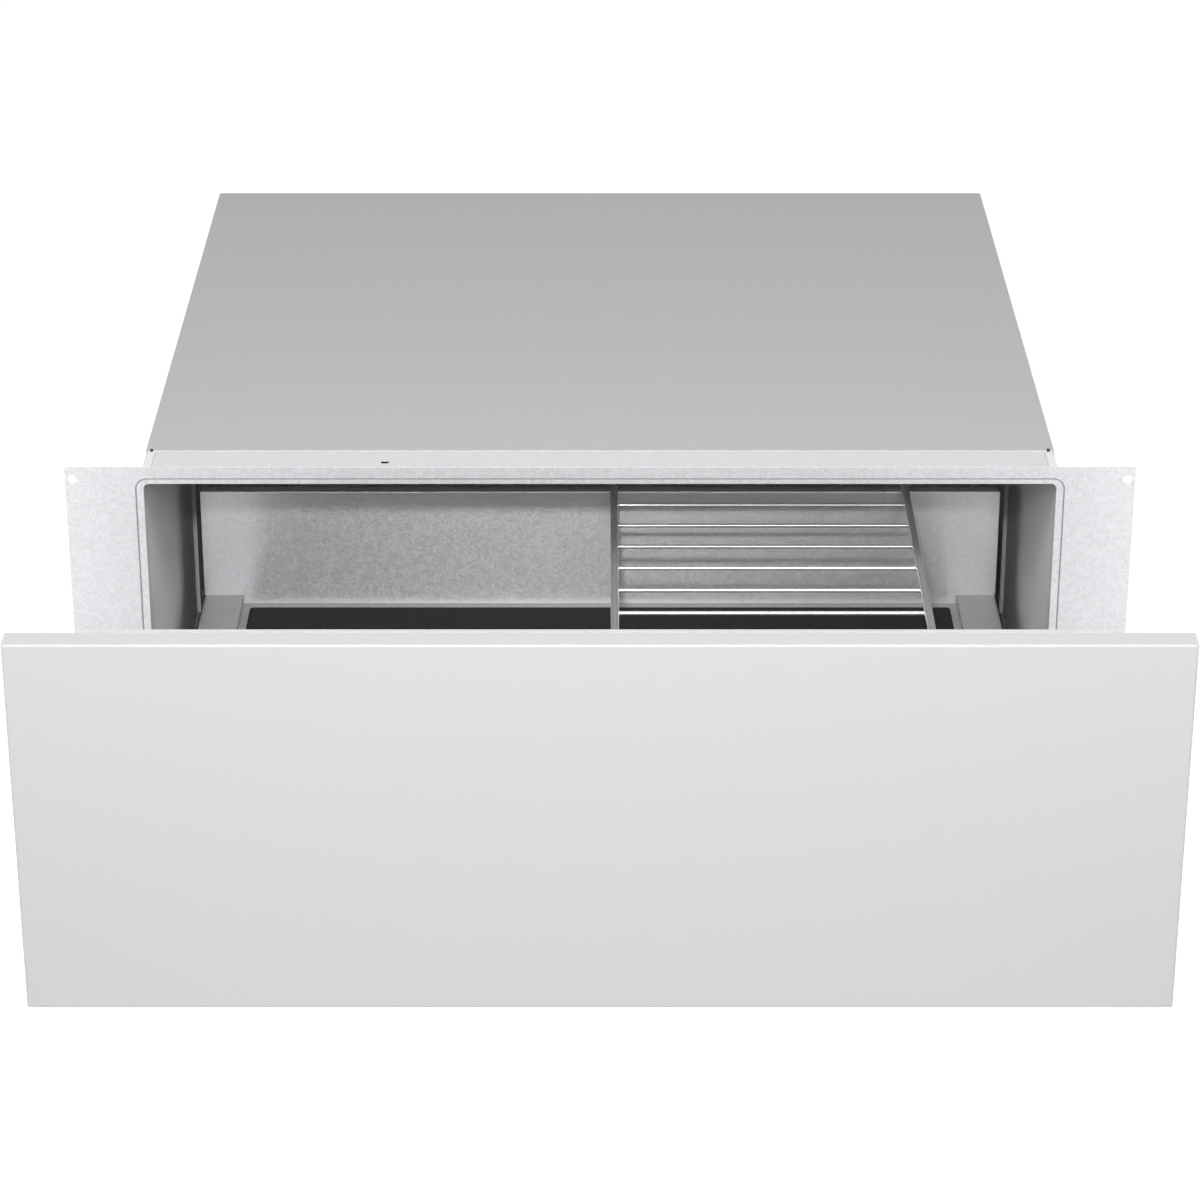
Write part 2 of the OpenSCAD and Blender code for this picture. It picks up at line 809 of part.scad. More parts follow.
// Rear sheet with folded sides, vent louvres and the cord gland's hole
vent_rows = 7;
vent_pitch = 9;
vent_w = 44;
vent_h = 4;
vent_gap = 14;
vent_drop = 61.5;
vent_low = fan_z - vent_drop;
module rear_panel() {
    top = rail_z - sheet;
    color("gainsboro") difference() {
        union() {
            block([-side_in, rear_y - sheet, base_top], [side_in, rear_y, top]);
            for (x = [-side_in, side_in - sheet])
                block([x, rear_y - wall_fold, base_top + fold_h + 1], [x + sheet, rear_y, top]);
        }
        for (column = [-3:3])
            for (row = [0:vent_rows - 1])
                translate([column * (vent_w + vent_gap), rear_y, vent_low + row * vent_pitch])
                    upright(-3, 3) {
                        square([vent_w - vent_h, vent_h], center = true);
                        for (s = [-1, 1]) translate([s * (vent_w - vent_h) / 2, 0]) circle(vent_h / 2);
                    }
        bar_y(gland_bore_r + 5, gland_x, rear_y - 5, rear_y + 5, gland_z);
        cover_screw_places() bar_y(cover_screw_r + screw_gap, 0, rear_y - 5, rear_y + 1, 0);
    }
}

// Inner roof of the cavity, above the lip
module cavity_roof() {
    color("gainsboro") block([-side_in, ring_back, roof_z], [side_in, wall_back, roof_z + sheet]);
}

module roof_insulation() {
    mat = min(insulation_t, rail_z - roof_z - sheet - insulation_gap);
    color("khaki") block([-side_in + 12, rail_d + 2, roof_z + sheet],
        [side_in - 12, wall_back - 4, roof_z + sheet + mat]);
}

module base_insulation() {
    half_w = slide_x - bracket_foot - 6;
    color("khaki") block([-half_w, 20, base_top], [half_w, cavity_d - 6, base_top + insulation_t]);
}

// Rear wall of the cavity: fan inlet grille, air outlets, holes for latch and sensor
outlet_slots = 5;
outlet_x = 72;
outlet_pitch = 15;
outlet_w = 6;
outlet_h = 64;
outlet_drop = 3;
grille_r = 34;
sensor_place = [-210, roof_z - 35.5];
sensor_r = 3;
module cavity_rear_wall() {
    color("gainsboro") difference() {
        union() {
            block([-side_in + sheet, cavity_d, base_top], [side_in - sheet, wall_back, roof_z]);
            for (x = [-side_in, side_in - sheet])
                block([x, cavity_d, base_top + fold_h + 1], [x + sheet, wall_back + wall_fold, roof_z]);
        }
        translate([0, cavity_d, fan_z]) upright(-2, 4) fan_grille();
        for (s = [-1, 1])
            for (i = [0:outlet_slots - 1])
                translate([s * (outlet_x + i * outlet_pitch), cavity_d, fan_z - outlet_drop])
                    upright(-2, 4) {
                        square([outlet_w, outlet_h], center = true);
                        for (t = [-1, 1]) translate([0, t * outlet_h / 2]) circle(outlet_w / 2);
                    }
        bar_y(latch_r + 0.3, latch_x, cavity_d - 2, wall_back + 2, latch_z);
        bar_y(sensor_r + screw_gap, sensor_place[0], cavity_d - 2, wall_back + 2, sensor_place[1]);
        ribbon_slot();
    }
}

// Rings of round holes in front of the fan wheel
module fan_grille() {
    ring_step = 8.4;
    hole_r = 2.6;
    circle(hole_r);
    for (ring = [1:floor(grille_r / ring_step)])
        for (i = [0:6 * ring - 1])
            rotate(i * 60 / ring) translate([ring * ring_step, 0]) circle(hole_r, $fn = 24);
}

// ---- Hot-air unit ----

// Sheet box behind the rear wall, open to the front
module fan_shroud() {
    rim = 8;
    color("gainsboro") difference() {
        union() {
            block([-shroud_x, wall_back, shroud_low], [shroud_x, shroud_rear, shroud_high]);
            block([-shroud_x - rim, wall_back, shroud_low],
                [shroud_x + rim, wall_back + sheet, shroud_high]);
        }
        block([-shroud_x + sheet, wall_back - 1, shroud_low + sheet],
            [shroud_x - sheet, shroud_rear - sheet, shroud_high - sheet]);
        bar_y(shaft_r + 4, 0, shroud_rear - 2, shroud_rear + 2, fan_z);
        heater_end_places()
            bar_y(heater_tube_r + heater_sleeve + screw_gap, 0, shroud_rear - 2, shroud_rear + 2, 0);
    }
}

// Heater tube bent to a ring round the wheel, both ends in sleeves led out to the rear
heater_gap = 30;
heater_sleeve = 1;
heater_y = wheel_front + 12;
module heater_end_places() {
    for (s = [-1, 1])
        translate([s * heater_r * sin(heater_gap / 2), 0, fan_z - heater_r * cos(heater_gap / 2)])
            children();
}
module ring_heater() {
    sleeve_r = heater_tube_r + heater_sleeve;
    sleeve_end = shroud_rear + 8;
    color("gray") {
        translate([0, heater_y, fan_z]) rotate([90, 0, 0]) rotate([0, 0, heater_gap / 2 - 90])
            rotate_extrude(angle = 360 - heater_gap) translate([heater_r, 0]) circle(heater_tube_r);
        heater_end_places() {
            bar_y(sleeve_r, 0, heater_y - sleeve_r, sleeve_end, 0);
            bar_y(1.2, 0, sleeve_end, sleeve_end + 6, 0);
        }
    }
}

// Radial wheel: back plate, leaning blades, front ring, hub on the shaft
module fan_wheel() {
    blade_t = 1;
    blade_len = 9;
    rear = wheel_front + wheel_len;
    color("silver") translate([0, 0, fan_z]) difference() {
        union() {
            bar_y(wheel_r, 0, rear - 1, rear, 0);
            bar_y(hub_r, 0, rear - 12, rear, 0);
            for (i = [0:blades - 1]) rotate([0, i * 360 / blades, 0])
                translate([wheel_r - blade_len / 2 - 0.8, 0, 0]) rotate([0, 25, 0])
                    block([-blade_len / 2, wheel_front, -blade_t / 2],
                        [blade_len / 2, rear - 0.5, blade_t / 2]);
            upright(wheel_front, wheel_front + 1) difference() {
                circle(wheel_r);
                circle(wheel_r - blade_len);
            }
        }
        bar_y(shaft_r + running_gap, 0, wheel_front - 1, rear + 1, 0);
    }
}

// Rotor pressed on the motor shaft
module motor_rotor() {
    color("silver") {
        bar_y(shaft_r, 0, wheel_front + wheel_len - 14, shaft_end, fan_z);
        bar_y(rotor_r, 0, stack_y - 1, stack_y + stack_t + 1, fan_z);
    }
}

// Laminated stack with the rotor's bore and the coil's leg
stack_w = 60;
stack_up = 26;
stack_down = 40;
coil_leg = 14;
module motor_stator() {
    color("slategray") upright(stack_y, stack_y + stack_t) translate([0, fan_z]) difference() {
        translate([-stack_w / 2, -stack_down]) square([stack_w, stack_up + stack_down]);
        circle(rotor_r + 0.5);
        translate([-stack_w / 2 + 8, -stack_down + coil_leg]) square([stack_w - 16, 7]);
    }
}

// Coil wound round the lower leg of the stack
module motor_coil() {
    t = 6;
    gap = screw_gap;
    w = 30;
    z = fan_z - stack_down;
    color("sienna") difference() {
        block([-w / 2, stack_y - t, z - t], [w / 2, stack_y + stack_t + t, z + coil_leg + t]);
        block([-w / 2 - 1, stack_y - gap, z - gap],
            [w / 2 + 1, stack_y + stack_t + gap, z + coil_leg + gap]);
    }
}

// Cast bar with the bearing boss, on two posts
module bearing_bracket(y0, y1, boss0, boss1) {
    color("darkgray") difference() {
        union() {
            upright(y0, y1) translate([0, fan_z]) {
                round_rect(24, 24, 8);
                for (s = [-1, 1])
                    polygon([[s * 6, -11], [s * 6, 11], [s * 30, 24], [s * 30, 15], [s * 14, 0],
                        [s * 30, -9], [s * 30, -18], [s * 20, -18]]);
            }
            bar_y(7, 0, boss0, boss1, fan_z);
        }
        bar_y(shaft_r + running_gap, 0, boss0 - 1, boss1 + 1, fan_z);
    }
}
module bearing_bracket_front() {
    y = stack_y - 4;
    bearing_bracket(y, y + 2.5, y - 3, y + 2.5);
    color("darkgray") for (s = [-1, 1]) {
        bar_y(3.5, s * 24, shroud_rear, y + 0.1, fan_z + 20);
        bar_y(3.5, s * 24, shroud_rear, y + 0.1, fan_z - 14);
        bar_y(3.5, s * 24, y, stack_y, fan_z + 20);
        bar_y(3.5, s * 24, y, stack_y, fan_z - 14);
    }
}
module bearing_bracket_rear() {
    y = stack_y + stack_t + 1.5;
    bearing_bracket(y, y + 2.5, y, y + 6);
    color("darkgray") for (s = [-1, 1]) {
        bar_y(3.5, s * 24, stack_y + stack_t, y + 0.1, fan_z + 20);
        bar_y(3.5, s * 24, stack_y + stack_t, y + 0.1, fan_z - 14);
    }
}

// Disc thermostat on the shroud, with its two tabs
module thermal_cutout() {
    x = 95;
    z = fan_z + 20;
    color("black") {
        bar_y(9, x, shroud_rear, shroud_rear + 1, z);
        bar_y(7.5, x, shroud_rear, shroud_rear + 9, z);
    }
    color("silver") for (s = [-1, 1])
        block([x + s * 4 - 0.4, shroud_rear + 8, z - 3], [x + s * 4 + 0.4, shroud_rear + 17, z + 3]);
}

// Probe through the rear wall, with its collar and nut
module temperature_sensor() {
    x = sensor_place[0];
    z = sensor_place[1];
    color("silver") {
        bar_y(sensor_r, x, cavity_d - 8, wall_back + 22, z);
        bar_y(5.5, x, cavity_d - 1.5, cavity_d, z);
        translate([x, wall_back, z]) rotate([-90, 0, 0]) cylinder(r = 6.5, h = 4, $fn = 6);
    }
}

// ---- Push-to-open latch ----

module latch_body() {
    w = 26;
    h = 18;
    wall = 2;
    color("gray") difference() {
        union() {
            block([latch_x - w / 2, wall_back, latch_z - h / 2], [latch_x + w / 2, wall_back + latch_len,
                latch_z + h / 2]);
            block([latch_x - w / 2 - 12, wall_back, latch_z - h / 2], [latch_x + w / 2 + 12, wall_back + 2.5,
                latch_z + h / 2]);
        }
        bar_y(latch_r + 0.3, latch_x, wall_back - 1, wall_back + latch_len - wall, latch_z);
        for (s = [-1, 1]) bar_y(1.7, latch_x + s * (w / 2 + 6), wall_back - 1, wall_back + 5, latch_z);
    }
}

// Plunger with its soft tip just clear of the closed drawer
module latch_plunger() {
    front = tray_rear + sheet + 0.4;
    color("white") {
        bar_y(latch_r - 0.6, latch_x, front, front + 5, latch_z);
        bar_y(latch_r, latch_x, front + 1.5, wall_back + latch_len - 12, latch_z);
    }
}

// ---- Electrics ----

// Plastic frame that holds the board off the base
module board_carrier() {
    x = board_place[0];
    y = board_place[1];
    w = board_size[0];
    d = board_size[1];
    color("white") {
        difference() {
            block([x - 4, y - 4, base_top], [x + w + 4, y + d + 4, base_top + 2]);
            block([x + 8, y + 8, base_top - 1], [x + w - 8, y + d - 8, base_top + 3]);
        }
        for (px = [x + 5, x + w - 5])
            for (py = [y + 5, y + d - 5]) bar_z(3.5, px, py, base_top + 1, base_top + board_lift);
    }
}

// Printed board with transformer, relays, capacitor and connectors
module control_board() {
    x = board_place[0];
    y = board_place[1];
    z = base_top + board_lift;
    top = z + board_size[2];
    color("darkgreen") block([x, y, z], [x + board_size[0], y + board_size[1], top]);
    pitch = 22;
    body = 16;
    transformer = [40, 34, 32];
    relay = [body, 28, 16];
    can_h = 26;
    plug = [body, 12, 11];
    edge = 12;
    color("gray") translate([x + edge, y + edge, top]) cube(transformer);
    color("black") for (i = [0:2])
        translate([x + 2 * edge + transformer[0] + i * pitch, y + edge, top]) cube(relay);
    color("navy") bar_z(body / 2, x + 2 * edge, y + board_size[1] - 1.5 * edge, top, top + can_h);
    color("ivory") for (i = [0:3])
        translate([x + 4 * edge + i * pitch, y + board_size[1] - plug[1] - 4, top]) cube(plug);
}

// Three-way mains terminal block on the base pan
module terminal_block() {
    ways = 3;
    way_w = 14;
    x = gland_x - 20;
    y = rear_y - 70;
    color("white") difference() {
        block([x - way_w * ways / 2, y, base_top], [x + way_w * ways / 2, y + 28, base_top + 24]);
        for (i = [0:ways - 1]) {
            translate([x + (i - 1) * way_w, y + 9, base_top + 12]) cylinder(r = 4, h = 20);
            bar_y(3.2, x + (i - 1) * way_w, y + 14, y + 30, base_top + 9);
        }
    }
}

// Flanged bush in the rear panel, with its nut inside
module cord_gland() {
    r = gland_bore_r + 4.8;
    color("black") difference() {
        union() {
            bar_y(r, gland_x, rear_y - 12, rear_y + 3, gland_z);
            bar_y(r + 4, gland_x, rear_y, rear_y + 3, gland_z);
            bar_y(r - 1.5, gland_x, rear_y, rear_y + 8, gland_z);
            translate([gland_x, rear_y - sheet - 5, gland_z]) rotate([-90, 0, 0])
                cylinder(r = r + 4, h = 5, $fn = 6);
        }
        bar_y(gland_bore_r, gland_x, rear_y - 20, rear_y + 20, gland_z);
    }
}

// Flat lead folded like a bellows, from the cavity's rear wall to the underside of the tray
ribbon_w = 26;
ribbon_t = 0.7;
ribbon_folds = 16;
ribbon_x = 120;
ribbon_fold_h = 15;
ribbon_closed = 143;
ribbon_drawer_y = cavity_d - ribbon_closed;
ribbon_low = base_top + insulation_t + soft_gap;
ribbon_tab = 12;
module ribbon_lead() {
    y0 = ribbon_drawer_y - drawer_open;
    y1 = cavity_d - 4;
    step = (y1 - y0) / ribbon_folds / 2;
    top = floor_z - sheet - soft_gap;
    function fold_z(i) = ribbon_low + (i % 2 == 0 ? 0 : ribbon_fold_h);
    path = [for (i = [0:2 * ribbon_folds]) [y0 + i * step, fold_z(i)]];
    back = [for (i = [2 * ribbon_folds:-1:0]) [y0 + i * step, fold_z(i) + ribbon_t]];
    color("lightgray") translate([ribbon_x, 0, 0]) rotate([90, 0, 90]) linear_extrude(ribbon_w) {
        polygon(concat(path, back));
        translate([y0 - ribbon_t, ribbon_low]) square([ribbon_t + eps, top - ribbon_low]);
        translate([y0 - ribbon_tab, top - ribbon_t]) square([ribbon_tab, ribbon_t]);
        translate([y1 - eps, ribbon_low]) square([ribbon_tab + sheet + 4, ribbon_t]);
    }
}
module ribbon_slot() {
    block([ribbon_x - 1, cavity_d - 2, ribbon_low - 1], [ribbon_x + ribbon_w + 1, wall_back + 2,
        ribbon_low + ribbon_t + 1]);
}

front_panel();
drawer_front_plate();
front_seal();
control_strip();
panel_screws();
drawer_tray();
drawer_rear_wall();
anti_slip_mat();
tray_stiffeners();
front_gusset_left();
front_gusset_right();
slide_inner_left();
slide_inner_right();
slide_middle_left();
slide_middle_right();
slide_outer_left();
slide_outer_right();
outer_cage_left();
outer_cage_right();
inner_cage_left();
inner_cage_right();
slide_bracket_left();
slide_bracket_right();
wire_rack();
mounting_frame();
front_rail();
side_panel_left();
side_panel_right();
side_channel_left();
side_channel_right();
base_pan();
top_cover();
rear_panel();
cover_screws();
cavity_roof();
cavity_rear_wall();
roof_insulation();
base_insulation();
fan_shroud();
ring_heater();
fan_wheel();
motor_rotor();
motor_stator();
motor_coil();
bearing_bracket_front();
bearing_bracket_rear();
thermal_cutout();
temperature_sensor();
latch_body();
latch_plunger();
control_board();
board_carrier();
terminal_block();
cord_gland();
ribbon_lead();
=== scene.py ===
import math

import bmesh
import bpy
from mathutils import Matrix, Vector


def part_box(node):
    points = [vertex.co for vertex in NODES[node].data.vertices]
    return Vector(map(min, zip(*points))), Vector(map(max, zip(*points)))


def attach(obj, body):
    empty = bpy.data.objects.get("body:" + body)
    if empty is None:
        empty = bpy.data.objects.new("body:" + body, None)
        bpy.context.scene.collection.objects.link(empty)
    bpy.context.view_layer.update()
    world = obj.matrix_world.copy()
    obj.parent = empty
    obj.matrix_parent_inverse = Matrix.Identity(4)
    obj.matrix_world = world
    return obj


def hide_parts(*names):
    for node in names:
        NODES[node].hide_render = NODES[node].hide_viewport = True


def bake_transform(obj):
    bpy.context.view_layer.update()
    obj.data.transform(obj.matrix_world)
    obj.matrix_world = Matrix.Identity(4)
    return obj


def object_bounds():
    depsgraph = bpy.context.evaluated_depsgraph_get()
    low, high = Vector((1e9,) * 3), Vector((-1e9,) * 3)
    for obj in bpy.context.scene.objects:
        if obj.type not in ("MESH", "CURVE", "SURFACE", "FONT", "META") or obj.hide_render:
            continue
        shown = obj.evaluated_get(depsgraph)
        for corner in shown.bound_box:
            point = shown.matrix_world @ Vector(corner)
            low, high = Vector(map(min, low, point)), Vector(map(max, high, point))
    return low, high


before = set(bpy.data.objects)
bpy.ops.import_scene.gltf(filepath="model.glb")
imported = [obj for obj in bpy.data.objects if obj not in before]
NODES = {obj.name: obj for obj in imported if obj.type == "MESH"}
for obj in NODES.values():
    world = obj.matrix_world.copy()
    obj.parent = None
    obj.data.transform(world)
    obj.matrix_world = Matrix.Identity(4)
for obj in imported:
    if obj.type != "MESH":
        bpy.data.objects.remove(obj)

# Built-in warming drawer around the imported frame. Metres; +X right, +Y into the cabinet, +Z up.
cad_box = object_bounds()
MM = 0.001
WELD = 0.002 * MM


# ---------------------------------------------------------------- camera, floor, light

# fitted to the outlines of the photographed drawer
LENS = 112.22
SENSOR = 36
LOOKS_DOWN = 24.82
EYE = (0, -2.41721, 1.14763)
FAR = 50

AMBIENT = 0.24
FLOOR_REACH = 9
FLOOR_GAP = 0.4 * MM
FLOOR_GLOW = 0.94
FLOOR_SEEN = 0.22
FLOOR_BOUNCE = 0.36


def grey(value):
    return (value, value, value, 1)


def make_camera():
    data = bpy.data.cameras.new("camera")
    data.lens = LENS
    data.sensor_width = SENSOR
    data.clip_end = FAR
    cam = bpy.data.objects.new("camera", data)
    cam.location = EYE
    cam.rotation_euler = (math.radians(90 - LOOKS_DOWN), 0, 0)
    bpy.context.scene.collection.objects.link(cam)
    bpy.context.scene.camera = cam


def shows_white(tree):
    """1 for the rays that see the backdrop: camera, glossy and transmission rays."""
    path = tree.nodes.new("ShaderNodeLightPath")
    add = tree.nodes.new("ShaderNodeMath")
    add.operation = "ADD"
    tree.links.new(path.outputs["Is Camera Ray"], add.inputs[0])
    tree.links.new(path.outputs["Is Glossy Ray"], add.inputs[1])
    both = tree.nodes.new("ShaderNodeMath")
    both.operation = "ADD"
    both.use_clamp = True
    tree.links.new(add.outputs[0], both.inputs[0])
    tree.links.new(path.outputs["Is Transmission Ray"], both.inputs[1])
    return both.outputs[0]


def make_world():
    world = bpy.data.worlds.new("studio")
    world.use_nodes = True
    bpy.context.scene.world = world
    tree = world.node_tree
    background = tree.nodes["Background"]
    background.inputs["Color"].default_value = grey(1)
    strength = tree.nodes.new("ShaderNodeMapRange")
    tree.links.new(shows_white(tree), strength.inputs["Value"])
    strength.inputs["To Min"].default_value = AMBIENT
    strength.inputs["To Max"].default_value = 1
    tree.links.new(strength.outputs[0], background.inputs["Strength"])


def make_floor():
    """White to the camera but for the object's shadow, and a pale grey to the light that bounces."""
    mesh = bpy.data.meshes.new("floor")
    corners = [(x * FLOOR_REACH, y * FLOOR_REACH, 0) for x, y in ((-1, -1), (1, -1), (1, 1), (-1, 1))]
    mesh.from_pydata(corners, [], [(0, 1, 2, 3)])
    floor = bpy.data.objects.new("floor", mesh)
    floor.location = (0, 0, cad_box[0].z - FLOOR_GAP)
    bpy.context.scene.collection.objects.link(floor)
    m = bpy.data.materials.new("floor")
    m.use_nodes = True
    tree = m.node_tree
    tree.nodes.remove(tree.nodes["Principled BSDF"])
    plain = tree.nodes.new("ShaderNodeBsdfDiffuse")
    plain.inputs["Color"].default_value = grey(FLOOR_BOUNCE)
    soft = tree.nodes.new("ShaderNodeBsdfDiffuse")
    soft.inputs["Color"].default_value = grey(FLOOR_SEEN)
    glow = tree.nodes.new("ShaderNodeEmission")
    glow.inputs["Strength"].default_value = FLOOR_GLOW
    seen = tree.nodes.new("ShaderNodeAddShader")
    tree.links.new(soft.outputs[0], seen.inputs[0])
    tree.links.new(glow.outputs[0], seen.inputs[1])
    mix = tree.nodes.new("ShaderNodeMixShader")
    tree.links.new(shows_white(tree), mix.inputs[0])
    tree.links.new(plain.outputs[0], mix.inputs[1])
    tree.links.new(seen.outputs[0], mix.inputs[2])
    tree.links.new(mix.outputs[0], tree.nodes["Material Output"].inputs["Surface"])
    mesh.materials.append(m)


def aim(obj, target):
    obj.rotation_euler = (Vector(target) - obj.location).to_track_quat("-Z", "Y").to_euler()


def area_light(name, place, target, size, power):
    data = bpy.data.lights.new(name, "AREA")
    data.shape = "RECTANGLE"
    data.size, data.size_y = size
    data.energy = power
    light = bpy.data.objects.new(name, data)
    light.location = place
    aim(light, target)
    light.visible_camera = False
    bpy.context.scene.collection.objects.link(light)


def make_lights():
    # the key stands close to the lens and throws the short shadows of the rack's wires
    area_light("key", (-0.06, -2.0, 1.19), (0, 0, 0), (0.07, 0.07), 12)
    area_light("strip", (0, -2.6, 1.3), (0, 0, 0), (1.5, 0.45), 13)
    for side in (-1, 1):
        area_light(f"side{side}", (side * 2.2, -1.6, 1.2), (0, 0, 0), (1.0, 1.4), 13)
    area_light("top", (0, -0.82, 1.15), (0, 0.1, 0), (2.2, 0.4), 11)


# ---------------------------------------------------------------- materials

class Shader:
    """One Principled material with object-space texture nodes."""

    def __init__(self, name, roughness=0.5, metallic=0.0, **sockets):
        self.material = bpy.data.materials.new(name)
        self.material.use_nodes = True
        self.tree = self.material.node_tree
        self.bsdf = self.tree.nodes["Principled BSDF"]
        self.bsdf.inputs["Roughness"].default_value = roughness
        self.bsdf.inputs["Metallic"].default_value = metallic
        for socket, value in sockets.items():
            self.bsdf.inputs[socket.replace("_", " ")].default_value = value
        self.coords = None

    def place(self, stretch=None):
        if self.coords is None:
            self.coords = self.tree.nodes.new("ShaderNodeTexCoord")
        if stretch is None:
            return self.coords.outputs["Object"]
        mapping = self.tree.nodes.new("ShaderNodeMapping")
        mapping.inputs["Scale"].default_value = stretch
        self.tree.links.new(self.coords.outputs["Object"], mapping.inputs["Vector"])
        return mapping.outputs[0]

    def noise(self, scale, detail=2.0, stretch=None, roughness=0.55):
        n = self.tree.nodes.new("ShaderNodeTexNoise")
        n.inputs["Scale"].default_value = scale
        n.inputs["Detail"].default_value = detail
        n.inputs["Roughness"].default_value = roughness
        self.tree.links.new(self.place(stretch), n.inputs["Vector"])
        return n.outputs[0]

    def cells(self, scale, stretch=None):
        """One random grey for each grain."""
        n = self.tree.nodes.new("ShaderNodeTexVoronoi")
        n.inputs["Scale"].default_value = scale
        self.tree.links.new(self.place(stretch), n.inputs["Vector"])
        grey = self.tree.nodes.new("ShaderNodeSeparateColor")
        self.tree.links.new(n.outputs["Color"], grey.inputs[0])
        return grey.outputs[0]

    def mix(self, a, b, share):
        n = self.tree.nodes.new("ShaderNodeMix")
        n.inputs[0].default_value = share
        self.tree.links.new(a, n.inputs[2])
        self.tree.links.new(b, n.inputs[3])
        return n.outputs[0]

    def ramp(self, value, stops):
        n = self.tree.nodes.new("ShaderNodeValToRGB")
        elements = n.color_ramp.elements
        while len(elements) < len(stops):
            elements.new(0.5)
        for e, (position, colour) in zip(elements, stops):
            e.position = position
            e.color = (*colour, 1)
        self.tree.links.new(value, n.inputs[0])
        return n.outputs[0]

    def span(self, value, low, high, start=0.3, end=0.7):
        """Maps the noise's usual range to low and high."""
        n = self.tree.nodes.new("ShaderNodeMapRange")
        n.inputs["From Min"].default_value = start
        n.inputs["From Max"].default_value = end
        n.inputs["To Min"].default_value = low
        n.inputs["To Max"].default_value = high
        self.tree.links.new(value, n.inputs["Value"])
        return n.outputs[0]

    def colour(self, output):
        self.tree.links.new(output, self.bsdf.inputs["Base Color"])

    def rough(self, output):
        self.tree.links.new(output, self.bsdf.inputs["Roughness"])

    def bump(self, output, height):
        n = self.tree.nodes.new("ShaderNodeBump")
        n.inputs["Strength"].default_value = 1
        n.inputs["Distance"].default_value = height
        self.tree.links.new(output, n.inputs["Height"])
        self.tree.links.new(n.outputs[0], self.bsdf.inputs["Normal"])


def shade(colour, factor):
    return tuple(min(1.0, c * factor) for c in colour)


def steel(name, colour, roughness, metallic, speck=0.06, grain=0.03, grain_scale=420,
          speck_scale=620, height=0.00003, stretch=None, **sockets):
    """Sheet metal: fine specks over larger soft grains, both in colour and in gloss."""
    s = Shader(name, roughness, metallic, **sockets)
    specks = s.noise(speck_scale, 3, stretch)
    grains = s.cells(grain_scale, stretch)
    both = s.mix(specks, grains, grain / (speck + grain))
    swing = speck + grain
    s.colour(s.ramp(both, [(0.3, shade(colour, 1 - swing)), (0.7, shade(colour, 1 + swing))]))
    s.rough(s.span(both, roughness * 0.9, roughness * 1.1))
    s.bump(specks, height)
    return s.material


def plastic(name, colour, roughness, height=0.00003, scale=1500, swing=0.04, **sockets):
    """Even surface with a fine grain; scale is the grain's and swing is its contrast."""
    s = Shader(name, roughness, **sockets)
    n = s.noise(scale, 2)
    s.colour(s.ramp(n, [(0.3, shade(colour, 1 - swing)), (0.7, shade(colour, 1 + swing))]))
    s.rough(s.span(n, roughness * 0.92, min(1, roughness * 1.08)))
    s.bump(n, height)
    return s.material


def wool(name, colour):
    """Fibres over soft clumps."""
    s = Shader(name, 0.95, Sheen_Weight=0.3, Sheen_Roughness=0.6)
    fibres = s.noise(420, 6, (1, 1, 5), 0.7)
    clumps = s.noise(60, 3)
    both = s.mix(fibres, clumps, 0.35)
    s.colour(s.ramp(both, [(0.3, shade(colour, 0.55)), (0.5, colour), (0.72, shade(colour, 1.35))]))
    s.bump(fibres, 0.0012)
    return s.material


lacquer = plastic("lacquer", (0.665, 0.662, 0.672), 0.38, 0.000006, 700, 0.012,
                  Coat_Weight=0.25, Coat_Roughness=0.2)
zinc = steel("zinc", (0.84, 0.85, 0.87), 0.36, 0.3, speck=0.07, grain=0.02)
cover_steel = steel("cover_steel", (0.56, 0.557, 0.573), 0.5, 0.2, speck=0.012, grain=0.006,
                    height=0.0000005)
rail_steel = steel("rail_steel", (0.76, 0.765, 0.78), 0.4, 0.3, speck=0.03, grain=0.012)
inner_steel = steel("inner_steel", (0.93, 0.93, 0.945), 0.42, 0.05, speck=0.015, grain=0.01)
stainless = steel("stainless", (0.86, 0.855, 0.875), 0.36, 0.92, speck=0.035, grain=0.015,
                  grain_scale=600, speck_scale=900,
                  Anisotropic=0.85, Anisotropic_Rotation=0.25,
                  Coat_Weight=0.5, Coat_IOR=1.6, Coat_Roughness=0.05)
tray_steel = steel("tray_steel", (0.49, 0.487, 0.5), 0.5, 0.1, speck=0.05, grain=0.03,
                   Coat_Weight=0.1, Coat_Roughness=0.06)
plate_steel = steel("plate_steel", (0.74, 0.75, 0.755), 0.4, 0.3, speck=0.04, grain=0.02)
slide_steel = steel("slide_steel", (0.62, 0.63, 0.64), 0.3, 0.85, speck=0.04, grain=0.03)
chrome = steel("chrome", (0.93, 0.93, 0.94), 0.14, 0.6, speck=0.01, grain=0.005,
               height=0.000002, IOR=2.0)
fastener = steel("fastener", (0.6, 0.6, 0.61), 0.28, 0.95, speck=0.05, grain=0.02)
heater_metal = steel("heater_metal", (0.3, 0.28, 0.27), 0.42, 0.85, speck=0.1, grain=0.08)
cast = steel("cast_aluminium", (0.62, 0.62, 0.63), 0.5, 0.8, speck=0.08, grain=0.05, height=0.0001)
motor_metal = steel("motor_laminations", (0.33, 0.33, 0.35), 0.45, 0.8, speck=0.08, grain=0.02,
                    stretch=(1, 9, 1), height=0.0001)
rubber = plastic("mat_rubber", (0.013, 0.013, 0.014), 0.85, 0.00012, 900, 0.12)
silicone = plastic("silicone", (0.11, 0.11, 0.115), 0.6, 0.00003, 600, 0.05)
black_gloss = plastic("black_gloss", (0.012, 0.012, 0.013), 0.08, 0.000002, 500, 0.05)
black_plastic = plastic("black_plastic", (0.028, 0.028, 0.03), 0.5, 0.00004, 1400, 0.1)
grey_plastic = plastic("grey_plastic", (0.58, 0.58, 0.56), 0.45, 0.00003, 1200, 0.03)
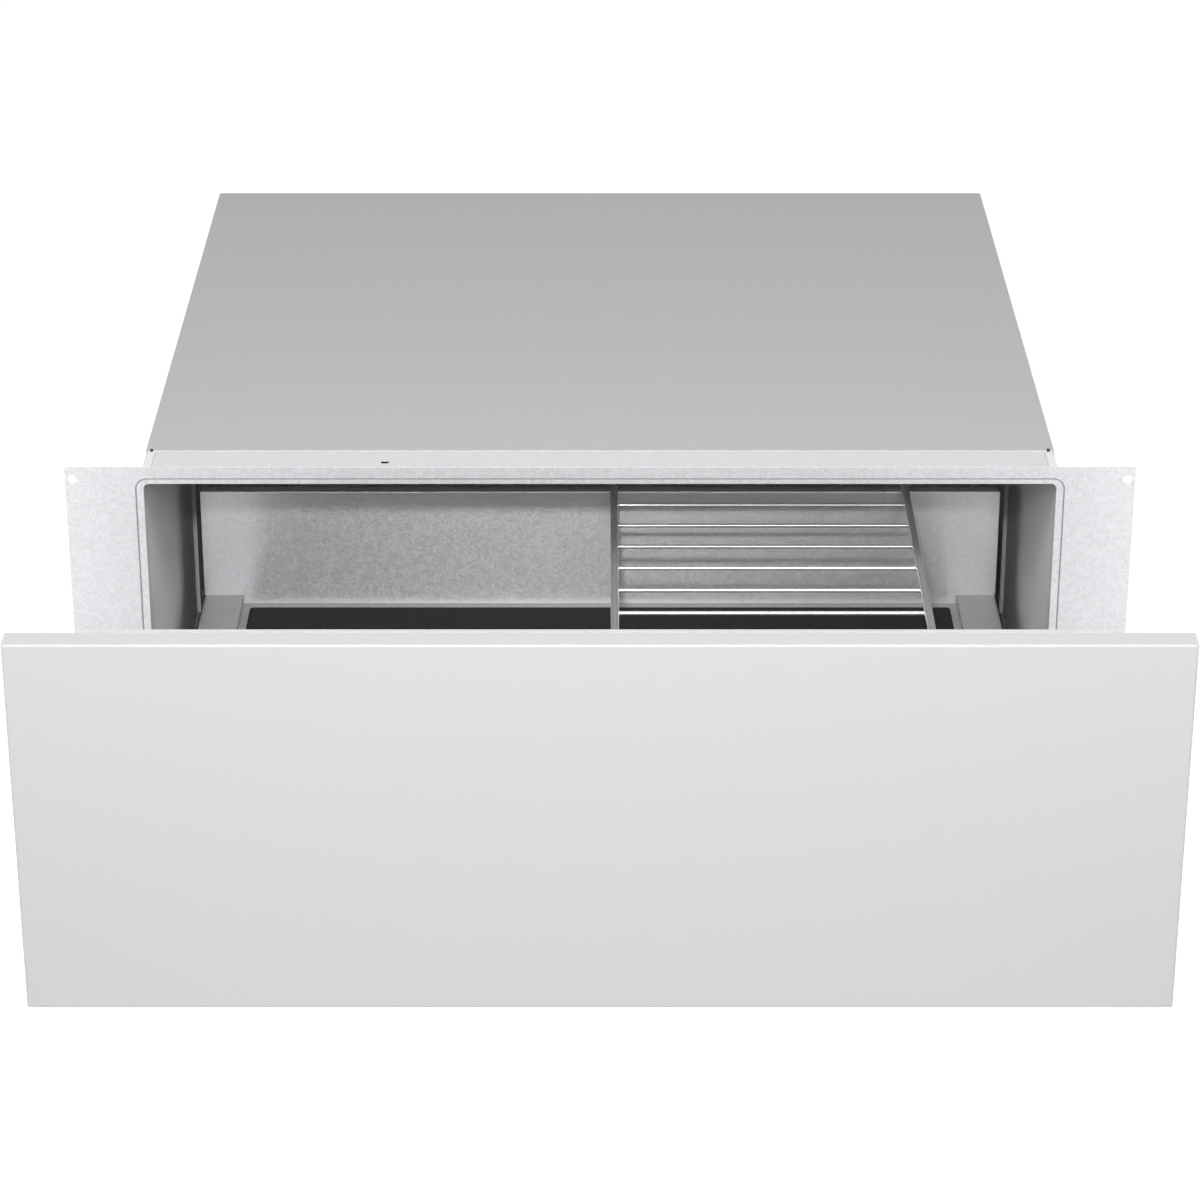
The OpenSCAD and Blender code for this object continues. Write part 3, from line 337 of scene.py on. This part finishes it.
pale_plastic = plastic("pale_plastic", (0.78, 0.77, 0.72), 0.4, 0.00003, 1200, 0.03)
board_green = plastic("board_green", (0.02, 0.13, 0.055), 0.35, 0.00004, 500, 0.15)
lead_grey = plastic("lead_grey", (0.42, 0.42, 0.435), 0.45, 0.00003, 900, 0.04)
tape = plastic("coil_tape", (0.5, 0.2, 0.06), 0.35, 0.00006, 800, 0.12)
copper = steel("copper_wire", (0.62, 0.27, 0.13), 0.3, 0.9, speck=0.06, grain=0.03)
mineral_wool = wool("mineral_wool", (0.6, 0.53, 0.36))
# painted shade: the dark grey of the ring strip, which stands in for the shadow in the flange's ring
# step
painted_shade_grey = plastic("painted_shade_grey", (0.3, 0.3, 0.31), 0.6, 0.00001)

LOOKS = {
    "front_panel": lacquer, "drawer_front_plate": plate_steel, "control_strip": black_gloss,
    "panel_screws": fastener, "drawer_tray": tray_steel, "drawer_rear_wall": stainless,
    "tray_stiffeners": stainless, "front_gusset": stainless, "slide_inner": slide_steel,
    "slide_middle": slide_steel, "slide_outer": slide_steel, "outer_cage": slide_steel,
    "inner_cage": slide_steel, "slide_bracket": zinc, "mounting_frame": zinc,
    "front_rail": rail_steel, "side_panel": inner_steel, "side_channel": inner_steel,
    "base_pan": zinc, "top_cover": cover_steel, "rear_panel": zinc, "cover_screws": fastener,
    "cavity_roof": inner_steel, "cavity_rear_wall": inner_steel, "fan_shroud": zinc,
    "ring_heater": heater_metal, "fan_wheel": cast, "motor_rotor": motor_metal,
    "motor_stator": motor_metal, "bearing_bracket": cast, "thermal_cutout": black_plastic,
    "temperature_sensor": fastener, "latch_body": grey_plastic, "latch_plunger": pale_plastic,
    "control_board": board_green, "board_carrier": pale_plastic, "terminal_block": pale_plastic,
    "cord_gland": black_plastic, "ribbon_lead": lead_grey, "anti_slip_mat": rubber,
    "front_seal": silicone, "wire_rack": chrome, "motor_coil": tape,
    "roof_insulation": mineral_wool, "base_insulation": mineral_wool,
}
SOFT_EDGE = 38
SAME_PLANE = 1
# widths of the rounded edges, in millimetres
BEVELS = {
    "mounting_frame": 0.45, "top_cover": 0.36, "front_rail": 0.2, "drawer_front_plate": 0.35,
    "drawer_tray": 0.2, "drawer_rear_wall": 0.2, "side_channel": 0.2, "control_strip": 0.15,
}


def family(node):
    """The node's name without its side, where LOOKS has no entry for the full name."""
    for side in ("_left", "_right", "_front", "_rear"):
        if node not in LOOKS and node.endswith(side):
            return node[:-len(side)]
    return node


def dress_nodes():
    for name, obj in NODES.items():
        look = LOOKS[family(name)]
        mesh = obj.data
        mesh.materials.clear()
        mesh.materials.append(look)
        weld = obj.modifiers.new("weld", "WELD")
        weld.merge_threshold = WELD
        width = BEVELS.get(family(name))
        if width:
            # one face for each flat, so that the bevel doesn't fold thin triangles at the holes
            planes = obj.modifiers.new("planes", "DECIMATE")
            planes.decimate_type = "DISSOLVE"
            planes.angle_limit = math.radians(SAME_PLANE)
            bevel = obj.modifiers.new("edge", "BEVEL")
            bevel.width = width * MM
            bevel.segments = 2
            bevel.limit_method = "ANGLE"
            bevel.angle_limit = math.radians(SOFT_EDGE)
            bevel.use_clamp_overlap = True
        flat = obj.modifiers.new("flat", "WEIGHTED_NORMAL")
        flat.keep_sharp = True


# ---------------------------------------------------------------- mesh tools

def new_piece(name, mesh, look, body, smooth_angle=35, replaces=()):
    piece = bpy.data.objects.new(name, mesh)
    bpy.context.scene.collection.objects.link(piece)
    mesh.materials.append(look)
    for p in mesh.polygons:
        p.use_smooth = True
    mesh.set_sharp_from_angle(angle=math.radians(smooth_angle))
    if body:
        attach(piece, body)
    if replaces:
        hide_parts(*replaces)
    return piece


def tube_into(bm, points, radius, sides=16, closed=False):
    """Adds a round tube along points, with flat ends."""
    points = [Vector(p) for p in points]
    n = len(points)
    tangent = []
    for i in range(n):
        a = points[i - 1] if (i > 0 or closed) else points[i]
        b = points[(i + 1) % n] if (i < n - 1 or closed) else points[i]
        tangent.append((b - a).normalized())
    side = tangent[0].orthogonal().normalized()
    rings = []
    for i, p in enumerate(points):
        t = tangent[i]
        if i:
            turn = tangent[i - 1].rotation_difference(t)
            side = turn @ side
        side = (side - t * side.dot(t)).normalized()
        up = t.cross(side)
        r = radius(i / (n - 1)) if callable(radius) else radius
        rings.append([bm.verts.new(p + r * (math.cos(a) * side + math.sin(a) * up))
                      for a in (2 * math.pi * k / sides for k in range(sides))])
    join_rings(bm, rings, closed)
    if not closed:
        bm.faces.new(list(reversed(rings[0])))
        bm.faces.new(rings[-1])


def join_rings(bm, rings, closed=False):
    """Faces between rings of as many points each, and from the last to the first if closed."""
    n = len(rings[0])
    for a, b in zip(rings, rings[1:] + rings[:1] if closed else rings[1:]):
        for k in range(n):
            j = (k + 1) % n
            bm.faces.new((a[k], a[j], b[j], b[k]))


def mesh_of(bm, name):
    bmesh.ops.recalc_face_normals(bm, faces=bm.faces)
    mesh = bpy.data.meshes.new(name)
    bm.to_mesh(mesh)
    bm.free()
    return mesh


def arc(centre, u, v, radius, a0, a1, steps=8):
    """Points from angle a0 to a1, in degrees from u towards v."""
    c, u, v = Vector(centre), Vector(u), Vector(v)
    for i in range(steps + 1):
        a = math.radians(a0 + (a1 - a0) * i / steps)
        yield c + radius * (math.cos(a) * u + math.sin(a) * v)


def box_into(bm, lo, hi, edge):
    """Adds a box with rounded edges."""
    lo, hi = Vector(lo), Vector(hi)
    made = bmesh.ops.create_cube(bm, size=1)["verts"]
    for v in made:
        v.co = Vector(((v.co[i] + 0.5) * (hi[i] - lo[i]) + lo[i]) for i in range(3))
    edges = list({e for v in made for e in v.link_edges})
    bmesh.ops.bevel(bm, geom=edges, offset=edge, segments=2, profile=0.5,
                    affect="EDGES", clamp_overlap=True)


# ---------------------------------------------------------------- wire rack

def make_rack():
    """One bent rod for the frame, cross wires welded under the two long runs."""
    lo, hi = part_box("wire_rack")
    rod, wire = 3 * MM, 1.5 * MM
    bend, leg_bend, foot_bend = 6 * MM, 10 * MM, 8 * MM
    hook = 14 * MM
    pitch, rear_gap = 38.4 * MM, 31.9 * MM
    straight, step = 20 * MM, 60 * MM
    wire_drop, weld_sink, weld_bulge = 1.1 * MM, 0.5 * MM, 0.55
    x0, x1 = lo.x + rod, hi.x - rod
    z = hi.z - rod
    y_hook, y_leg, z_foot = hi.y - rod, lo.y + rod, lo.z + rod
    tray_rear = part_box("drawer_rear_wall")[0].y
    X, Y, Z = Vector((1, 0, 0)), Vector((0, 1, 0)), Vector((0, 0, 1))

    def half(x, side):
        """From the hook's end down to the middle of the foot bar."""
        points = [Vector((x, y_hook, z - hook)), Vector((x, y_hook, z - hook + 1 * MM))]
        points += arc((x, y_hook - bend, z - bend), Y, Z, bend, 0, 90, 10)
        y = y_hook - bend - straight
        while y > y_leg + leg_bend + straight:
            points.append(Vector((x, y, z)))
            y -= step
        points += arc((x, y_leg + leg_bend, z - leg_bend), Y, Z, leg_bend, 90, 180, 10)
        points.append(Vector((x, y_leg, (z + z_foot) / 2)))
        points += arc((x + side * foot_bend, y_leg, z_foot + foot_bend), -side * X, -Z,
                      foot_bend, 0, 90, 8)
        return points

    bm = bmesh.new()
    tube_into(bm, half(x0, 1) + half(x1, -1)[::-1], rod, 24)
    y = tray_rear - rear_gap
    while y > y_leg + leg_bend - 1e-6:
        zw = z - wire_drop
        run = [Vector((x0 + (x1 - x0) * t, y, zw)) for t in (0, 0.02, 0.5, 0.98, 1)]
        tube_into(bm, run, wire, 16)
        for x, s in ((x0, 1), (x1, -1)):
            start = x + s * (rod - weld_sink)
            tube_into(bm, [Vector((start + s * d * MM, y, zw)) for d in (0, 0.5, 1.1, 1.8)],
                      lambda t: wire * (1 + weld_bulge * (1 - min(1, t * 1.2))), 16)
        y -= pitch
    new_piece("rack", mesh_of(bm, "rack"), chrome, "rack", 40, ["wire_rack"])


# ---------------------------------------------------------------- soft and folded pieces

def make_mat():
    """Flat rubber sheet with round corners and a soft upper edge."""
    lo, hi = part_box("anti_slip_mat")
    bm = bmesh.new()
    radius, edge = 3 * MM, 0.6 * MM
    outline = []
    for cx, cy, a0 in ((hi.x - radius, hi.y - radius, 0), (lo.x + radius, hi.y - radius, 90),
                       (lo.x + radius, lo.y + radius, 180), (hi.x - radius, lo.y + radius, 270)):
        outline += list(arc((cx, cy, 0), (1, 0, 0), (0, 1, 0), radius, a0, a0 + 90, 6))
    centre = Vector(((lo.x + hi.x) / 2, (lo.y + hi.y) / 2, 0))
    shoulder = edge * 0.3
    levels = [(0, lo.z), (0, hi.z - edge), (shoulder, hi.z - shoulder), (edge, hi.z)]
    rings = []
    for inset, z in levels:
        ring = []
        for p in outline:
            d = p - centre
            x = centre.x + d.x * (1 - 2 * inset / (hi.x - lo.x))
            y = centre.y + d.y * (1 - 2 * inset / (hi.y - lo.y))
            ring.append(bm.verts.new((x, y, z)))
        rings.append(ring)
    join_rings(bm, rings)
    bm.faces.new(list(reversed(rings[0])))
    bm.faces.new(rings[-1])
    new_piece("mat", mesh_of(bm, "mat"), rubber, "drawer", 50, ["anti_slip_mat"])


def make_seal():
    """Silicone lip: flat foot on the front plate and a soft round bead towards the flange."""
    lo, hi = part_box("front_seal")
    depth = hi.y - lo.y
    band, foot, ledge, corner = 3.4 * MM, 0.9 * MM, 0.5 * MM, 7 * MM
    profile = [(0, 0), (0, foot)]
    bead = band / 2 - ledge
    top = depth - bead
    for i in range(9):
        a = math.pi - math.pi * i / 8
        profile.append((band / 2 + bead * math.cos(a), top + bead * math.sin(a)))
    profile += [(band, foot), (band, 0)]
    bm = bmesh.new()
    path = []
    for sx, sz, a0 in ((1, 1, 0), (-1, 1, 90), (-1, -1, 180), (1, -1, 270)):
        for i in range(7):
            a = math.radians(a0 + 90 * i / 6)
            path.append((sx * (hi.x - corner), sz * (hi.z - corner), math.cos(a), math.sin(a)))
    rings = []
    for cx, cz, nx, nz in path:
        rings.append([bm.verts.new((cx + nx * (corner - inset), lo.y + up, cz + nz * (corner - inset)))
                      for inset, up in profile])
    join_rings(bm, rings, closed=True)
    new_piece("seal", mesh_of(bm, "seal"), silicone, "drawer", 40, ["front_seal"])


def hash01(i, j, k=0):
    """Repeatable value from 0 to 1."""
    h = (i * 73856093) ^ (j * 19349663) ^ (k * 83492791)
    h = (h ^ (h >> 13)) * 1274126177 & 0xFFFFFFFF
    return ((h ^ (h >> 16)) & 0xFFFF) / 65535


def make_wool(name, node):
    """Fibre mat: closed slab whose faces dip and swell between its tucked edges."""
    lo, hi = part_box(node)
    cell, stitch = 9 * MM, 14
    swell, tuck, slope, stitch_depth, under = 0.7 * MM, 1.6 * MM, 0.4 * MM, 0.6 * MM, 0.1 * MM
    nx, ny = max(4, round((hi.x - lo.x) / cell)), max(4, round((hi.y - lo.y) / cell))
    bm = bmesh.new()
    layers = []
    for side in (0, 1):
        grid = []
        for i in range(nx + 1):
            row = []
            for j in range(ny + 1):
                edge = min(i, nx - i, j, ny - j)
                dip = (0.35 + 0.65 * hash01(i, j, side)) * swell
                dip += (tuck, slope)[edge] if edge < 2 else 0
                stitched = i % stitch == stitch // 2 and j % stitch == stitch // 2
                quilt = stitch_depth if stitched else 0
                z = hi.z - dip - quilt if side else lo.z + (dip if edge == 0 else under)
                x = lo.x + (hi.x - lo.x) * i / nx
                y = lo.y + (hi.y - lo.y) * j / ny
                row.append(bm.verts.new((x, y, z)))
            grid.append(row)
        layers.append(grid)
    for side, grid in enumerate(layers):
        for i in range(nx):
            for j in range(ny):
                face = (grid[i][j], grid[i + 1][j], grid[i + 1][j + 1], grid[i][j + 1])
                bm.faces.new(face if side else face[::-1])
    a, b = layers
    rim = [(i, 0) for i in range(nx)] + [(nx, j) for j in range(ny)]
    rim += [(i, ny) for i in range(nx, 0, -1)] + [(0, j) for j in range(ny, 0, -1)]
    for (i, j), (k, l) in zip(rim, rim[1:] + rim[:1]):
        bm.faces.new((a[i][j], a[k][l], b[k][l], b[i][j]))
    new_piece(name, mesh_of(bm, name), mineral_wool, "housing", 180, [node])


def soft_fold(u):
    """Zigzag of period 1 with rounded tips, from 0 up to 1 and back."""
    sharpness = 0.97
    wave = math.asin(sharpness * math.cos(2 * math.pi * u)) / math.asin(sharpness)
    return (1 - wave) / 2


def make_ribbon():
    """Flat lead folded like a bellows, from the tab under the tray to the cavity's rear wall."""
    lo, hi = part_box("ribbon_lead")
    Y, Z = Vector((0, 1, 0)), Vector((0, 0, 1))
    folds, steps = 16, 14
    fold_height, half, turn = 14.6 * MM, 0.25 * MM, 1.5 * MM
    tab, tail = 12 * MM, 16.8 * MM
    wires, ridge = 20, 0.1 * MM
    middle = half + ridge
    y0, y1 = lo.y + tab, hi.y - tail
    low, top = lo.z + middle, hi.z - middle
    riser = y0 - middle
    path = [(lo.y, top), (riser - turn, top)]
    bends = list(arc((0, riser - turn, top - turn), Z, Y, turn, 15, 90, 5))
    bends += arc((0, riser + turn, low + turn), -Y, -Z, turn, 0, 90, 5)
    path += [(p.y, p.z) for p in bends]
    pitch = (y1 - riser - turn) / folds
    for i in range(1, folds * steps + 1):
        path.append((riser + turn + pitch * i / steps, low + fold_height * soft_fold(i / steps)))
    path.append((hi.y, low))
    bm = bmesh.new()
    rings = []
    for i, (y, z) in enumerate(path):
        before, after = path[max(i - 1, 0)], path[min(i + 1, len(path) - 1)]
        along = Vector((after[0] - before[0], after[1] - before[1])).normalized()
        over, under = [], []
        for k in range(2 * wires + 1):
            x = lo.x + (hi.x - lo.x) * k / (2 * wires)
            out = half + (ridge if k % 2 else 0)
            over.append(bm.verts.new((x, y - along.y * out, z + along.x * out)))
            under.append(bm.verts.new((x, y + along.y * out, z - along.x * out)))
        rings.append(over + under[::-1])
    join_rings(bm, rings)
    for ring in (rings[0], rings[-1]):
        bm.faces.new(ring)
    piece = new_piece("ribbon", mesh_of(bm, "ribbon"), lead_grey, None, 50, ["ribbon_lead"])
    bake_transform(piece)


# ---------------------------------------------------------------- screws, hem, motor winding

def loose_parts(node):
    """The corner points of each separate solid of a node."""
    bm = bmesh.new()
    bm.from_mesh(NODES[node].data)
    bmesh.ops.remove_doubles(bm, verts=bm.verts, dist=WELD)
    left, parts = set(bm.verts), []
    for first in bm.verts:
        if first not in left:
            continue
        left.discard(first)
        part, queue = [], [first]
        while queue:
            v = queue.pop()
            part.append(v.co.copy())
            for e in v.link_edges:
                other = e.other_vert(v)
                if other in left:
                    left.discard(other)
                    queue.append(other)
        parts.append(part)
    bm.free()
    return parts


def cross_recess(x, y, reach, half_width):
    """1 inside the two arms of a driver recess, 0 outside, with sloped walls."""
    slope = half_width * 0.5

    def inside(limit, value):
        return min(1, max(0, (limit - abs(value)) / slope))

    return max(inside(half_width, y) * inside(reach, x), inside(half_width, x) * inside(reach, y))


def screw_into(bm, tip, head_top, head_radius, shank_radius, head_height):
    """Adds a pan-head screw with a driver recess and a rolled thread."""
    tip, head_top = Vector(tip), Vector(head_top)
    axis = (tip - head_top).normalized()
    length = (tip - head_top).length
    u = axis.orthogonal().normalized()
    v = axis.cross(u)
    sides, bands = 48, 12
    dome, depth, rim = head_height * 0.35, head_height * 0.6, head_height * 0.15
    reach, half_width = head_radius * 0.55, head_radius * 0.16
    pitch, neck, root = 0.8 * MM, 0.4 * MM, shank_radius * 0.78
    rings = []

    def ring(along, radius, recess=False):
        row = []
        for k in range(sides):
            a = 2 * math.pi * k / sides
            x, y = radius * math.cos(a), radius * math.sin(a)
            sunk = depth * cross_recess(x, y, reach, half_width) if recess else 0
            row.append(bm.verts.new(head_top + axis * (along + sunk) + u * x + v * y))
        rings.append(row)

    centre = bm.verts.new(head_top + axis * depth)
    for i in range(1, bands + 1):
        r = i / bands
        ring(dome * r ** 3, head_radius * 0.96 * r, recess=True)
    ring(dome + rim, head_radius)
    ring(head_height, head_radius)
    ring(head_height, shank_radius)
    along = head_height + neck
    while along + pitch < length - shank_radius:
        ring(along, shank_radius)
        ring(along + pitch / 2, root)
        along += pitch
    ring(length - shank_radius * 0.8, shank_radius * 0.9)
    end = bm.verts.new(tip)
    for k in range(sides):
        j = (k + 1) % sides
        bm.faces.new((centre, rings[0][j], rings[0][k]))
        bm.faces.new((rings[-1][k], rings[-1][j], end))
    join_rings(bm, rings)


def make_screws(name, node, body):
    """A detailed screw in the place of each solid of the node, with its axis, length and radii."""
    near_enough = 0.05 * MM
    bm = bmesh.new()
    for part in loose_parts(node):
        lo = Vector([min(p[i] for p in part) for i in range(3)])
        hi = Vector([max(p[i] for p in part) for i in range(3)])
        size = hi - lo
        axis = max(range(3), key=lambda i: size[i])
        others = [i for i in range(3) if i != axis]
        middle = (lo + hi) / 2

        def radius(p):
            return math.hypot(*(p[i] - middle[i] for i in others))

        def radius_at(level):
            return max(radius(p) for p in part if abs(p[axis] - level) < near_enough)

        at_lo, at_hi = radius_at(lo[axis]), radius_at(hi[axis])
        top, tip = (lo, hi) if at_lo > at_hi else (hi, lo)
        head, shank = max(at_lo, at_hi), min(at_lo, at_hi)
        levels = [p[axis] for p in part if radius(p) > head - near_enough]
        at_tip, at_top = middle.copy(), middle.copy()
        at_tip[axis], at_top[axis] = tip[axis], top[axis]
        screw_into(bm, at_tip, at_top, head, shank, max(levels) - min(levels))
    new_piece(name, mesh_of(bm, name), fastener, body, 35, [node])


def make_rear_hem():
    """The tray wall's top edge turned back towards the cavity's rear."""
    lo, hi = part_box("drawer_rear_wall")
    depth, sheet, edge = 9.5 * MM, 0.8 * MM, 0.25 * MM
    side_gap, behind_face, below_top = 1 * MM, 1.3 * MM, 0.25 * MM
    front, top = lo.y + behind_face, hi.z - below_top
    bm = bmesh.new()
    box_into(bm, (lo.x + side_gap, front, top - sheet), (hi.x - side_gap, front + depth, top), edge)
    new_piece("rear_hem", mesh_of(bm, "rear_hem"), tray_steel, "drawer", 35)


def make_ring_painted_shade():
    """Painted shade: a fine dark strip on the ring, where the recessed ring leaves the flange,
    standing in for the shadow in that step.
    """
    half_x, half_z, corner = 326.4 * MM, 124.2 * MM, 8.5 * MM
    floor = -0.5 * MM
    width, height = 0.9 * MM, 0.3 * MM
    rings = []
    bm = bmesh.new()
    for cx, cz, start in ((1, 1, 0), (-1, 1, 90), (-1, -1, 180), (1, -1, 270)):
        for k in range(9):
            a = math.radians(start + 90 * k / 8)
            ring = []
            for r, y in ((corner, floor), (corner, floor - height),
                         (corner - width, floor - height), (corner - width, floor)):
                x = cx * (half_x - corner) + r * math.cos(a)
                z = cz * (half_z - corner) + r * math.sin(a)
                ring.append(bm.verts.new((x, y, z)))
            rings.append(ring)
    join_rings(bm, rings, closed=True)
    # painted shade: this dark strip stands in for the shadow where the ring steps down from the flange
    new_piece("ring_painted_shade", mesh_of(bm, "ring_painted_shade"), painted_shade_grey, "housing", 35)


def make_winding():
    """Enamelled turns side by side round the stator's long leg, between two bobbin cheeks."""
    lo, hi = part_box("motor_coil")
    Y, Z = Vector((0, 1, 0)), Vector((0, 0, 1))
    turns, layers, cheek, wrap = 24, 2, 1.2 * MM, 3 * MM
    layer_pitch, outer_bend, bend_loss, slack = 1.9, 2.2 * MM, 0.4, 0.97
    wire = (hi.x - lo.x - 2 * cheek) / turns / 2
    bm = bmesh.new()
    for layer in range(layers):
        inset = wire * (1 + layer_pitch * layer)
        bend = outer_bend - inset * bend_loss
        y0, y1, z0, z1 = lo.y + inset, hi.y - inset, lo.z + inset, hi.z - inset
        for i in range(turns):
            x = lo.x + cheek + wire * (2 * i + 1)
            points = []
            for cy, cz, a0 in ((y1 - bend, z1 - bend, 0), (y0 + bend, z1 - bend, 90),
                               (y0 + bend, z0 + bend, 180), (y1 - bend, z0 + bend, 270)):
                points += arc((x, cy, cz), Y, Z, bend, a0, a0 + 90, 4)
            tube_into(bm, points, wire * slack, 8, closed=True)
    new_piece("motor_winding", mesh_of(bm, "motor_winding"), copper, "housing", 50,
              ["motor_coil"])
    make_cheeks(lo, hi, cheek, wrap)


def make_cheeks(lo, hi, thick, wrap):
    """A flat frame at each end of the winding's box, as wide as the winding is deep."""
    bm = bmesh.new()
    for x in (lo.x, hi.x - thick):
        rings = []
        for inset in (0, wrap):
            ring = []
            for y, z in ((lo.y + inset, lo.z + inset), (hi.y - inset, lo.z + inset),
                         (hi.y - inset, hi.z - inset), (lo.y + inset, hi.z - inset)):
                ring.append([bm.verts.new((x + d, y, z)) for d in (0, thick)])
            rings.append(ring)
        outer, inner = rings
        for k in range(4):
            j = (k + 1) % 4
            bm.faces.new((outer[k][0], outer[j][0], inner[j][0], inner[k][0]))
            bm.faces.new((outer[k][1], inner[k][1], inner[j][1], outer[j][1]))
            bm.faces.new((outer[k][0], outer[k][1], outer[j][1], outer[j][0]))
            bm.faces.new((inner[k][0], inner[j][0], inner[j][1], inner[k][1]))
    new_piece("bobbin_cheeks", mesh_of(bm, "bobbin_cheeks"), black_plastic, "housing",
              35)


# ---------------------------------------------------------------- the scene

bpy.context.scene.view_settings.view_transform = "Standard"
make_camera()
make_world()
make_floor()
make_lights()
dress_nodes()
make_rack()
make_mat()
make_seal()
make_wool("roof_wool", "roof_insulation")
make_wool("base_wool", "base_insulation")
make_ribbon()
make_screws("front_screws", "panel_screws", "drawer")
make_screws("case_screws", "cover_screws", "housing")
make_rear_hem()
make_ring_painted_shade()
make_winding()
